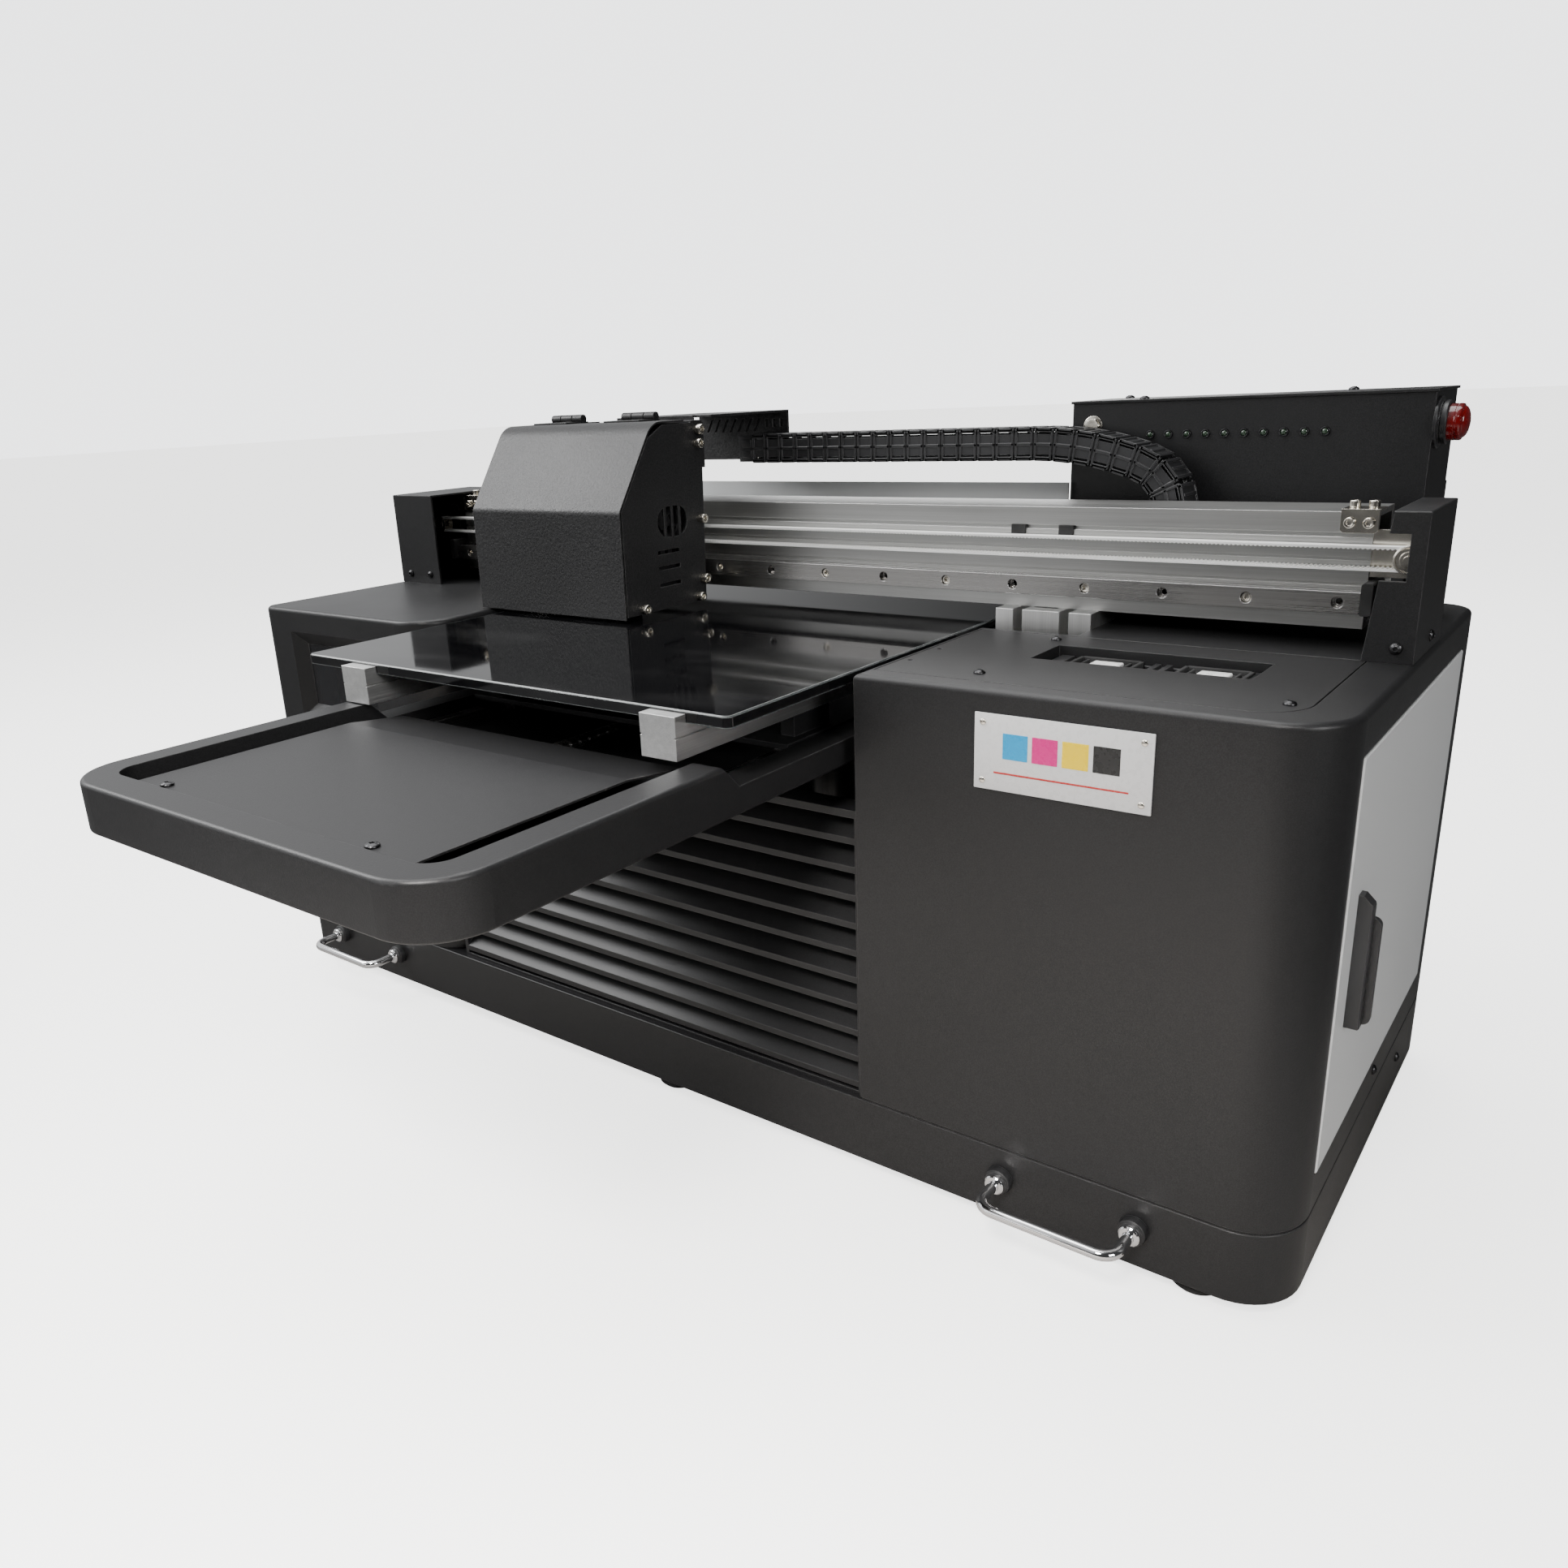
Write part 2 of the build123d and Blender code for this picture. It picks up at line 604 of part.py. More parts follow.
def make_beam_brackets():
    """Angle plates on the beam ends and the idler plate that carries the pulley axle."""
    parts = []
    for x in BRACKET_XS:
        plate = block(x - 12, x + 12, BEAM_Y0 - 2, BEAM_Y0, BEAM_TOP - 14, BEAM_TOP + 2)
        plate = fillet([e for e in plate.edges().filter_by(Axis.Y) if e.center().Z < BEAM_TOP - 10], 3)
        plate += block(x - 12, x + 12, BEAM_Y0, BEAM_Y0 + 20, BEAM_TOP, BEAM_TOP + 2)
        for dx in BRACKET_SCREW_DX:
            plate -= rod_y(x + dx, BEAM_TOP - 7, BEAM_Y0 - 3, BEAM_Y0, 1.2)
            plate -= rod_z(x + dx, BEAM_Y0 + 9, BEAM_TOP, BEAM_TOP + 3, 1.2)
        parts.append(plate)
    idler = block(BEAM_X1, IDLER_X + 8, BEAM_Y0 + 1, BEAM_Y0 + 5, BELT_Z - 14, BELT_Z + 18)
    parts.append(idler + rod_y(IDLER_X, BELT_Z, BELT_Y0 - 3, BEAM_Y0 + 1, 3))
    return parts


def bright_screws():
    """Nickel screws: two on the front and two on the top of each bracket, rivets, box screw."""
    screws = []
    for x in BRACKET_XS:
        for dx in BRACKET_SCREW_DX:
            screws.append(cap_screw(x + dx, BEAM_Y0 - 2, BEAM_TOP - 7, "-y", 3.6, 3, 1, 1))
            screws.append(cap_screw(x + dx, BEAM_Y0 + 9, BEAM_TOP + 2, "+z", 3.6, 5, 1, 1))
    for x, z in rivet_spots():
        screws.append(rod_y(x, z, FRONT - PLATE_T - 1, FRONT - PLATE_T, 2.2))
    hexagon = Plane(origin=HEXAGON_AT, z_dir=(0, -1, 0)) * RegularPolygon(6.5, 6)
    screws.append(extrude(hexagon, amount=4))
    return screws


def end_cover(x0, x1, y1):
    """Sheet cover over a beam end, open towards the beam and at the bottom."""
    cover = soft_top(block(x0, x1, COVER_FRONT, y1, CAB_TOP, COVER_TOP), 1)
    return cover - block(x0, x1 - SHEET, COVER_FRONT + SHEET, y1 - SHEET, CAB_TOP, COVER_TOP - SHEET)


COVER_OUT = 518
RIGHT_COVER_X0 = 487
NOTCH_X1 = 508
NOTCH_Z0 = 453
NOTCH_Z1 = 483
RIGHT_COVER_Y1 = 240
LEFT_COVER_X1 = -452
COVER_SCREW_Z = CAB_TOP + 10


def front_cover_hole(x):
    return rod_y(x, COVER_SCREW_Z, COVER_FRONT, COVER_FRONT + SHEET, SCREW_HOLE_R)


def make_left_end_cover():
    cover = mirrored(end_cover(-LEFT_COVER_X1, COVER_OUT, BEAM_Y1 + 2))
    return cover - front_cover_hole(COVER_SCREW_XS[0]) - front_cover_hole(COVER_SCREW_XS[1])


def make_right_end_cover():
    """Right cover; narrower at the top, with a notch in its front that shows the idler pulley."""
    cover = end_cover(RIGHT_COVER_X0, COVER_OUT, RIGHT_COVER_Y1)
    out = RIGHT_COVER_X0 - 1
    taper = [(RIGHT_COVER_X0, CAB_TOP), (out + 11, COVER_TOP + 1), (out, COVER_TOP + 1), (out, CAB_TOP)]
    cover -= xz_prism(taper, COVER_FRONT, RIGHT_COVER_Y1)
    cover -= block(out, NOTCH_X1, COVER_FRONT, COVER_FRONT + SHEET, NOTCH_Z0, NOTCH_Z1)
    cover -= front_cover_hole(COVER_SCREW_XS[2])
    return cover - rod_x(COVER_SIDE_SCREW_Y, COVER_SCREW_Z, COVER_OUT - SHEET, COVER_OUT, SCREW_HOLE_R)


def panel_screws():
    """Black button head screws of the covers and panels."""
    small = (SCREW_HEAD_R, SCREW_HEAD_H, SCREW_R, SHEET - 0.2)
    screws = [cap_screw(x, y, CAB_TOP, "+z", *small) for x, y in BAY_SCREWS]
    screws += [cap_screw(x, COVER_FRONT, COVER_SCREW_Z, "-y", *small) for x in COVER_SCREW_XS]
    screws.append(cap_screw(COVER_OUT, COVER_SIDE_SCREW_Y, COVER_SCREW_Z, "+x", *small))
    screws.append(cap_screw(HALF_W, *CABINET_SIDE_SCREW, "+x", *small))
    screws.append(rod_x(*PLINTH_SIDE_SCREW, HALF_W, HALF_W + SCREW_HEAD_H, SCREW_HEAD_R))
    screws += [cap_screw(x, y, BOX_TOP, "+z", *small) for x, y in LID_SCREWS]
    return screws


MOTOR_HALF = 21
AXLE_R = 3
FLANGE_T = 1.4
FLANGE_OUT = 2.7


def make_x_motor():
    body = block(DRIVE_X - MOTOR_HALF, DRIVE_X + MOTOR_HALF, BEAM_Y0, BEAM_Y0 + 48, BELT_Z - MOTOR_HALF,
                 BELT_Z + MOTOR_HALF)
    body = chamfer(body.edges().filter_by(Axis.Y), 4)
    body += rod_y(DRIVE_X, BELT_Z, BELT_Y0 - 2, BEAM_Y0, AXLE_R)
    bracket = block(DRIVE_X + MOTOR_HALF, BEAM_X0, BEAM_Y0 + 20, BEAM_Y0 + 24, BELT_Z - 15, BELT_Z + 15)
    return body + bracket


def pulley(x):
    """Toothed pulley with two flanges, bored for its axle."""
    gap = 0.1
    y0 = BELT_Y0 - gap - FLANGE_T
    y1 = BELT_Y1 + gap + FLANGE_T
    body = rod_y(x, BELT_Z, y0, y1, BELT_R - RUN)
    for a, b in ((y0, y0 + FLANGE_T), (y1 - FLANGE_T, y1)):
        body += rod_y(x, BELT_Z, a, b, BELT_R + FLANGE_OUT)
    return body - rod_y(x, BELT_Z, y0, y1, AXLE_R + RUN)


def make_x_belt():
    def loop(r):
        solid = block(DRIVE_X, IDLER_X, BELT_Y0, BELT_Y1, BELT_Z - r, BELT_Z + r)
        for x in (DRIVE_X, IDLER_X):
            solid += rod_y(x, BELT_Z, BELT_Y0, BELT_Y1, r)
        return solid
    return loop(BELT_R + BELT_T) - loop(BELT_R)


SENSOR_XS = (213.5, 253.4)


def make_rail_stops():
    """Rubber stops at both rail ends and two end-switch flags clipped into the beam groove."""
    t = 7.5
    front = BEAM_Y0 - 1.2
    groove_z = BEAM_TOP - 17
    stops = [block(x, x + t, RAIL_Y0 - 5, BEAM_Y0 + 14, RAIL_Z0, RAIL_Z0 + 22)
             for x in (BEAM_X0 - t, BEAM_X1)]
    stops = [fillet(s.edges().filter_by(Axis.Y), 2) for s in stops]
    for x in SENSOR_XS:
        flag = block(x, x + 12, front, BEAM_Y0, groove_z - 5, groove_z + 3)
        stops.append(flag + block(x, x + 12, BEAM_Y0, BEAM_Y0 + 3, groove_z, groove_z + 3))
    return stops


TROUGH_X0 = -250
TROUGH_X1 = 480
TROUGH_WALL_X1 = 216
TROUGH_Y1 = 301
TROUGH_Z = 424
TROUGH_TOP = 501


def make_chain_trough():
    """Folded shelf behind the beam, with a high rear wall where the electronics box isn't."""
    front = BEAM_Y1 + SHEET
    trough = block(TROUGH_X0, TROUGH_X1, front, TROUGH_Y1, TROUGH_Z, TROUGH_Z + SHEET)
    trough += block(TROUGH_X0, TROUGH_X1, BEAM_Y1, front, TROUGH_Z, TROUGH_Z + 20)
    return trough + block(TROUGH_X0, TROUGH_WALL_X1, TROUGH_Y1 - SHEET, TROUGH_Y1, TROUGH_Z, TROUGH_TOP)


# ---- drag chain ---------------------------------------------------------------------------------
DROP = radians(DROP_DEG)
BEND_X = CHAIN_DROP_X + (DROP_R - BEND_R) * sin(DROP)
BEND_Z = CHAIN_Z - DROP_R + (DROP_R - BEND_R) * cos(DROP)
UPPER_L = CHAIN_DROP_X - CHAIN_START
DROP_L = DROP_R * DROP
BEND_L = BEND_R * radians(180 - DROP_DEG)
CHAIN_L = UPPER_L + DROP_L + BEND_L + BEND_X - CHAIN_END


def chain_point(s):
    """Position (x, z) and heading in degrees at arc length s from the carriage end."""
    if s < UPPER_L:
        return CHAIN_START + s, CHAIN_Z, 0
    s -= UPPER_L
    if s < DROP_L:
        a = s / DROP_R
        return CHAIN_DROP_X + DROP_R * sin(a), CHAIN_Z - DROP_R * (1 - cos(a)), -degrees(a)
    s -= DROP_L
    if s < BEND_L:
        a = DROP + s / BEND_R
        return BEND_X + BEND_R * sin(a), BEND_Z + BEND_R * cos(a), -degrees(a)
    return BEND_X - (s - BEND_L), BEND_Z - BEND_R, -180


def make_drag_chain():
    """Row of open links; each link narrows towards the inside of the bend."""
    gap = 1.2
    wall = 4
    h = CHAIN_H / 2
    outer = (LINK_PITCH - gap) / 2
    inner = (LINK_PITCH * (BEND_R - h) / BEND_R - gap) / 2
    outline = [(-inner, -h), (inner, -h), (outer, 0), (outer, h), (-outer, h), (-outer, 0)]
    link = xz_prism(outline, CHAIN_Y0, CHAIN_Y0 + CHAIN_W)
    link -= block(-LINK_PITCH, LINK_PITCH, CHAIN_Y0 + wall, CHAIN_Y0 + CHAIN_W - wall, -h + wall, h - wall)
    links = []
    for i in range(int(CHAIN_L / LINK_PITCH)):
        x, z, heading = chain_point((i + 0.5) * LINK_PITCH)
        links.append(Pos(x, 0, z) * Rot(0, -heading, 0) * link)
    return links


# ---- electronics box ----------------------------------------------------------------------------
INDICATORS = 10
INDICATOR_X = 282
INDICATOR_PITCH = 14.8
INDICATOR_Z = 539
INDICATOR_R = 2.5
HOOK_TOP = 496
LID_OVER = 1.5


def make_electronics_box():
    box = block(BOX_X0, BOX_X1, BOX_Y0, BOX_Y1, CAB_TOP, BOX_TOP - SHEET)
    box -= block(BOX_X0 + SHEET, BOX_X1 - SHEET, BOX_Y0 + SHEET, BOX_Y1 - SHEET, CAB_TOP + SHEET, BOX_TOP)
    for i in range(INDICATORS):
        x = INDICATOR_X + i * INDICATOR_PITCH
        box -= rod_y(x, INDICATOR_Z, BOX_Y0, BOX_Y0 + SHEET, INDICATOR_R + 0.1)
    box += block(BOX_X1 - SHEET, BOX_X1, BOX_Y1 - 1, REAR, CAB_TOP, HOOK_TOP)
    for x, y in LID_SCREWS:
        y0, y1 = (BOX_Y0 + SHEET, y + 6) if y < (BOX_Y0 + BOX_Y1) / 2 else (y - 6, BOX_Y1 - SHEET)
        box += block(x - 6, x + 6, y0 - 0.5, y1 + 0.5, BOX_TOP - 12, BOX_TOP - SHEET)
    return box


def make_electronics_lid():
    lid = block(BOX_X0 - LID_OVER, BOX_X1 + LID_OVER, BOX_Y0 - LID_OVER, BOX_Y1 + LID_OVER,
                BOX_TOP - SHEET, BOX_TOP)
    for x, y in LID_SCREWS:
        lid -= rod_z(x, y, BOX_TOP - SHEET, BOX_TOP, SCREW_HOLE_R)
    return lid


def make_indicators():
    lamps = []
    for i in range(INDICATORS):
        x = INDICATOR_X + i * INDICATOR_PITCH
        body = rod_y(x, INDICATOR_Z, BOX_Y0 - 1, BOX_Y0 + 4, INDICATOR_R)
        lamps.append(body + rod_y(x, INDICATOR_Z, BOX_Y0 - 1, BOX_Y0, INDICATOR_R + 1))
    return lamps


CAP_R = 13
COLLAR_X1 = 495


def make_button_collar():
    collar = rod_x(BUTTON_Y, BUTTON_Z, BOX_X1, COLLAR_X1, CAP_R + 2.5)
    return collar - rod_x(BUTTON_Y, BUTTON_Z, BOX_X1 + 1, COLLAR_X1, CAP_R + RUN)


def make_button_cap():
    cap = rod_x(BUTTON_Y, BUTTON_Z, COLLAR_X1 - 2.5, COLLAR_X1 + 13, CAP_R)
    return fillet(cap.edges().filter_by(GeomType.CIRCLE).sort_by(Axis.X)[-1], 4)


def make_control_board():
    board = block(BOX_X0 + 25, BOX_X1 - 25, 380, 382, CAB_TOP + 15, BOX_TOP - 40)
    for x in (BOX_X0 + 35, BOX_X1 - 35):
        for z in (CAB_TOP + 25, BOX_TOP - 50):
            board += rod_y(x, z, 382, BOX_Y1 - SHEET, 4)
    for i in range(5):
        board += block(BOX_X0 + 45 + 36 * i, BOX_X0 + 68 + 36 * i, 372, 380, CAB_TOP + 30, CAB_TOP + 55)
    board += block(BOX_X0 + 60, BOX_X0 + 150, 352, 380, CAB_TOP + 65, CAB_TOP + 115)
    return board


# ---- bed and table ------------------------------------------------------------------------------
COVER_X0 = -143
COVER_X1 = 147
COVER_Y0 = -371
PLATE_FOLD_Y = -200
PLATE_REAR = -150
COVER_Z = 361
COVER_T = 1.5
SLOPE_Y0 = -165
SLOPE_Y1 = -149
BEARING_YS = ((-362, -346), (344, 358))
SLEEVE_Z = 250
NUT_Z = 262
GUIDE_R = 8
LIFT_R = 8


def make_bed_frame():
    """Tray with a rounded raised rim at the front and low side rails inside the machine."""
    def plan(inset, y1, z0, z1):
        corners = {"fl": FRONT_R - inset, "fr": FRONT_R - inset}
        return upright(TRAY_X0 + inset, TRAY_X1 - inset, TRAY_FRONT + inset, y1, z0, z1, corners)

    top = TRAY_TOP + 1
    rear = TRAY_REAR + 1
    pan = TRAY_Z0 + PAN_T
    step = [(SLOPE_Y0, top), (SLOPE_Y0, TRAY_TOP), (SLOPE_Y1, TRAY_LOW_TOP), (rear, TRAY_LOW_TOP),
            (rear, top)]
    tray = soft_top(plan(0, TRAY_REAR, TRAY_Z0, TRAY_TOP), 3)
    tray = fillet(tray.edges().group_by(Axis.Z)[0], 1.5) - yz_prism(step, TRAY_X0 - 1, TRAY_X1 + 1)
    tray -= plan(RIM, TRAY_REAR - 4, pan, top)
    for x, y in TRAY_SCREWS:
        tray += block(x - 9, x + 9, TRAY_FRONT + RIM - 1, y + 10, pan, COVER_Z - COVER_T)
    for y0, y1 in BEARING_YS:
        tray += block(LIFT_X - 15, LIFT_X + 15, y0, y1, pan, BALL_SCREW_Z + 8)
        tray -= rod_y(LIFT_X, BALL_SCREW_Z, y0, y1, BALL_SCREW_R + RUN)
    tray -= rod_y(LIFT_X, BALL_SCREW_Z, TRAY_REAR - 5, rear, 6)
    for x in GUIDE_XS:
        for y in GUIDE_YS:
            tray += rod_z(x, y, SLEEVE_Z, TRAY_Z0, 2 * GUIDE_R)
            tray -= rod_z(x, y, SLEEVE_Z, TRAY_Z0, GUIDE_R + RUN)
    tray += rod_z(LIFT_X, LIFT_Y, NUT_Z, TRAY_Z0, 18) + rod_z(LIFT_X, LIFT_Y, TRAY_Z0 - 8, TRAY_Z0, 28)
    return tray - rod_z(LIFT_X, LIFT_Y, NUT_Z, TRAY_Z0, LIFT_R + RUN)


def make_cover_plate():
    fold = [(COVER_Y0, COVER_Z - COVER_T), (PLATE_FOLD_Y, COVER_Z - COVER_T), (PLATE_REAR, 353.5),
            (PLATE_REAR, 355), (PLATE_FOLD_Y, COVER_Z), (COVER_Y0, COVER_Z)]
    plate = yz_prism(fold, COVER_X0, COVER_X1)
    for x, y in TRAY_SCREWS:
        plate -= rod_z(x, y, COVER_Z - COVER_T, COVER_Z, SCREW_HOLE_R)
    return plate


def make_cover_screws():
    return [cap_screw(x, y, COVER_Z, "+z", 4.5, SCREW_HEAD_H, SCREW_R, COVER_T - 0.1) for x, y in TRAY_SCREWS]


Y_RAIL_W = 12
Y_RAIL_H = 8


def make_y_rails():
    pan = TRAY_Z0 + PAN_T
    return [block(x - Y_RAIL_W / 2, x + Y_RAIL_W / 2, -350, 355, pan, pan + Y_RAIL_H) for x in RAIL_XS]


BLOCK_YS = (-40, 120)
BLOCK_W = 27
BLOCK_L = 45
SADDLE_Z = 347


def make_y_guide_blocks():
    pan = TRAY_Z0 + PAN_T
    half = Y_RAIL_W / 2 + RUN
    blocks = []
    for x in RAIL_XS:
        for y in BLOCK_YS:
            body = block(x - BLOCK_W / 2, x + BLOCK_W / 2, y, y + BLOCK_L, pan + 1.5, SADDLE_Z)
            blocks.append(body - block(x - half, x + half, y, y + BLOCK_L, pan, pan + Y_RAIL_H + RUN))
    return blocks


SADDLE_T = 4
UPRIGHTS = ((-164, -150), (149, 161))


def make_table_saddle():
    """Plate on the guide blocks, its four uprights that pass the slots, and the ball nut."""
    top = SADDLE_Z + SADDLE_T
    saddle = block(RAIL_XS[0] - 13, RAIL_XS[1] + 13, -60, 170, SADDLE_Z, top)
    for centre in (LIFT_X - 68, LIFT_X + 68):
        saddle -= block(centre - 35, centre + 35, -20, 130, SADDLE_Z, top)
    for x0, x1 in UPRIGHTS:
        for y in BLOCK_YS:
            saddle += block(x0, x1, y, y + BLOCK_L, top, BAR_Z0)
    saddle += block(LIFT_X - 15, LIFT_X + 15, 40, 70, TRAY_Z0 + PAN_T + 0.5, SADDLE_Z)
    return saddle - rod_y(LIFT_X, BALL_SCREW_Z, 39, 71, BALL_SCREW_R + RUN)


def make_table_bars():
    """Bars under the glass; a raised nose at the front of each one stops the glass."""
    nose_gap = 0.3
    bars = []
    glass_z = TABLE_TOP - GLASS_T
    for x in BAR_CENTRES:
        bar = block(x - BAR_W / 2, x + BAR_W / 2, TABLE_Y0 - 11, TABLE_Y1, BAR_Z0, glass_z)
        for side in (-1, 1):
            edge = x + side * BAR_W / 2
            bar -= block(edge - 1.2, edge + 1.2, TABLE_Y0 - 12, TABLE_Y1 + 7, glass_z - 8.5, glass_z - 7.5)
        bar += block(x - BAR_W / 2, x + BAR_W / 2, TABLE_Y0 - 11, TABLE_Y0 - nose_gap, glass_z, TABLE_TOP - 2)
        bars.append(bar)
    return bars


def make_table_glass():
    glass = block(TABLE_X0, TABLE_X1, TABLE_Y0, TABLE_Y1, TABLE_TOP - GLASS_T, TABLE_TOP)
    glass = fillet(glass.edges().filter_by(Axis.Z), 5)
    return chamfer(glass.edges().group_by(Axis.Z)[-1], 0.8)


BALL_SCREW_Y0 = -360
BALL_SCREW_Y1 = 364
Y_SHAFT_R = 2.5


def make_y_ball_screw():
    """Ball screw, bored at its rear end for the motor shaft."""
    screw = rod_y(LIFT_X, BALL_SCREW_Z, BALL_SCREW_Y0, BALL_SCREW_Y1, BALL_SCREW_R)
    return screw - rod_y(LIFT_X, BALL_SCREW_Z, BALL_SCREW_Y1 - 6, BALL_SCREW_Y1, Y_SHAFT_R + RUN)


def make_y_motor():
    body = block(LIFT_X - MOTOR_HALF, LIFT_X + MOTOR_HALF, TRAY_REAR, TRAY_REAR + 20, BALL_SCREW_Z - 10,
                 BALL_SCREW_Z + 20)
    shaft = rod_y(LIFT_X, BALL_SCREW_Z, BALL_SCREW_Y1 - 5, TRAY_REAR, Y_SHAFT_R)
    return chamfer(body.edges().filter_by(Axis.Y), 3) + shaft


LIFT_MOTOR_TOP = PLINTH_TOP + 76
LIFT_SHAFT_R = 4


def make_lift_motor():
    half = 28
    body = block(LIFT_X - half, LIFT_X + half, LIFT_Y - half, LIFT_Y + half, PLINTH_TOP, LIFT_MOTOR_TOP)
    body = chamfer(body.edges().filter_by(Axis.Z), 5)
    return body + rod_z(LIFT_X, LIFT_Y, LIFT_MOTOR_TOP, LIFT_MOTOR_TOP + 16, LIFT_SHAFT_R)


def make_lift_screw():
    """Lift screw with the coupling that sits on the motor shaft."""
    foot = LIFT_MOTOR_TOP + 2
    screw = rod_z(LIFT_X, LIFT_Y, foot, foot + 27, 13) + rod_z(LIFT_X, LIFT_Y, foot + 12, ROD_TOP, LIFT_R)
    return screw - rod_z(LIFT_X, LIFT_Y, foot, foot + 15, LIFT_SHAFT_R + RUN)


def make_guide_rods():
    rods = []
    for x in GUIDE_XS:
        for y in GUIDE_YS:
            flange = rod_z(x, y, PLINTH_TOP, PLINTH_TOP + 8, 20)
            rods.append(rod_z(x, y, PLINTH_TOP, ROD_TOP, GUIDE_R) + flange)
    return rods


# ---- carriage -----------------------------------------------------------------------------------
SIDE_T = 2
COVER_SKIN = 1.5
SIDE_REAR = 174


FAN_Y = 123.5
FAN_Z = 480
FAN_R = 13.5
FAN_SHIFT = 7
HINGE_R = 4
HINGE_PIN_R = 1.8
LEAF_HALF = 22
LEAF_T = 1.5
FIXED_KNUCKLES = ((-20, -8), (8, 20))


def make_side_plate():
    """Side plate with an oval fan grille, three slots and the bolt holes; its inner face is at x 0."""
    strip_z = CARR_TOP - 3
    foot = CARR_Z0 + 2
    outline = [(CARR_FRONT + 3, foot), (CARR_FRONT + 4, CARR_BEND_Z), (CARR_SLOPE_Y - 6, strip_z - 10.5),
               (CARR_SLOPE_Y + 14, strip_z), (SIDE_REAR, strip_z), (SIDE_REAR, 524), (170, 524), (166, foot)]
    plate = yz_prism(outline, 0, SIDE_T)
    oval = block(0, SIDE_T, FAN_Y - FAN_SHIFT, FAN_Y + FAN_SHIFT, FAN_Z - FAN_R, FAN_Z + FAN_R)
    for y in (FAN_Y - FAN_SHIFT, FAN_Y + FAN_SHIFT):
        oval += rod_x(y, FAN_Z, 0, SIDE_T, FAN_R)
    for dy in (-10, 0, 10):
        oval -= block(0, SIDE_T, FAN_Y + dy - 1.5, FAN_Y + dy + 1.5, FAN_Z - 16, FAN_Z + 16)
    plate -= oval
    for z in (425, 440, 454):
        plate -= block(0, SIDE_T, 101, 131, z - 1.7, z + 1.7)
    for y, z in CARRIAGE_BOLTS:
        plate -= rod_x(y, z, 0, SIDE_T, 2.2)
    return plate


def make_carriage_shell():
    """Two side plates joined by a top strip that carries the fixed half of both hinges."""
    side = make_side_plate()
    y0 = HINGE_Y + 4
    y1 = SIDE_REAR - 2
    shell = Pos(CARR_X0, 0, 0) * side + Pos(CARR_X1 - SIDE_T, 0, 0) * side
    shell += block(CARR_X0, CARR_X1, y0, y1, CARR_TOP - 3, CARR_TOP - 1)
    for x in HINGE_XS:
        shell += block(x - LEAF_HALF, x + LEAF_HALF, y0 + 0.5, y1, CARR_TOP - 1, CARR_TOP + 0.5)
        for a, b in FIXED_KNUCKLES:
            shell += rod_x(HINGE_Y, HINGE_Z, x + a, x + b, HINGE_R)
            shell += block(x + a, x + b, HINGE_Y, HINGE_Y + 6, CARR_TOP, CARR_TOP + LEAF_T)
        shell += rod_x(HINGE_Y, HINGE_Z, x - 20, x + 20, HINGE_PIN_R)
    return shell


def make_carriage_bolts():
    bolts = []
    for y, z in CARRIAGE_BOLTS:
        bolts.append(cap_screw(CARR_X1, y, z, "+x", 4.5, 8, 2, 2))
        bolts.append(cap_screw(CARR_X0, y, z, "-x", 4.5, 8, 2, 2))
    return bolts


def make_carriage_cover():
    """Front cover: upright front, slope and rounded top, hinged along its rear edge."""
    end_y = HINGE_Y - 5

    def skin(inset):
        pts = [(CARR_FRONT + inset, CARR_Z0), (CARR_FRONT + 1 + inset, CARR_BEND_Z - 0.3 * inset),
               (CARR_SLOPE_Y + 0.4 * inset, CARR_TOP - inset), (end_y, CARR_TOP - inset),
               (end_y, CARR_Z0)]
        solid = yz_prism(pts, CARR_X0, CARR_X1)
        edges = solid.edges().filter_by(Axis.X)
        top = [e for e in edges if abs(e.center().Y - pts[2][0]) < 0.1 and e.center().Z > CARR_TOP - 5]
        solid = fillet(top, 22 - inset)
        bend = [e for e in solid.edges().filter_by(Axis.X)
                if abs(e.center().Y - pts[1][0]) < 0.1 and abs(e.center().Z - pts[1][1]) < 0.1]
        return fillet(bend, 8 - inset)
    return skin(0) - skin(COVER_SKIN)


def make_cover_hinges():
    hinges = []
    for x in HINGE_XS:
        leaf = block(x - LEAF_HALF, x + LEAF_HALF, HINGE_Y - 26, HINGE_Y - 6, CARR_TOP, CARR_TOP + LEAF_T)
        leaf += block(x - 7, x + 7, HINGE_Y - 7, HINGE_Y, CARR_TOP, CARR_TOP + LEAF_T)
        leaf += rod_x(HINGE_Y, HINGE_Z, x - 7, x + 7, HINGE_R)
        hinges.append(leaf - rod_x(HINGE_Y, HINGE_Z, x - 7, x + 7, HINGE_PIN_R + RUN))
    return hinges


PLATE_Y0 = 164
PLATE_Y1 = 172
HEAD_Z0 = 401.5


def head_centres():
    return [CARR_MID + side * HEAD_PITCH / 2 for side in (-1, 1)]


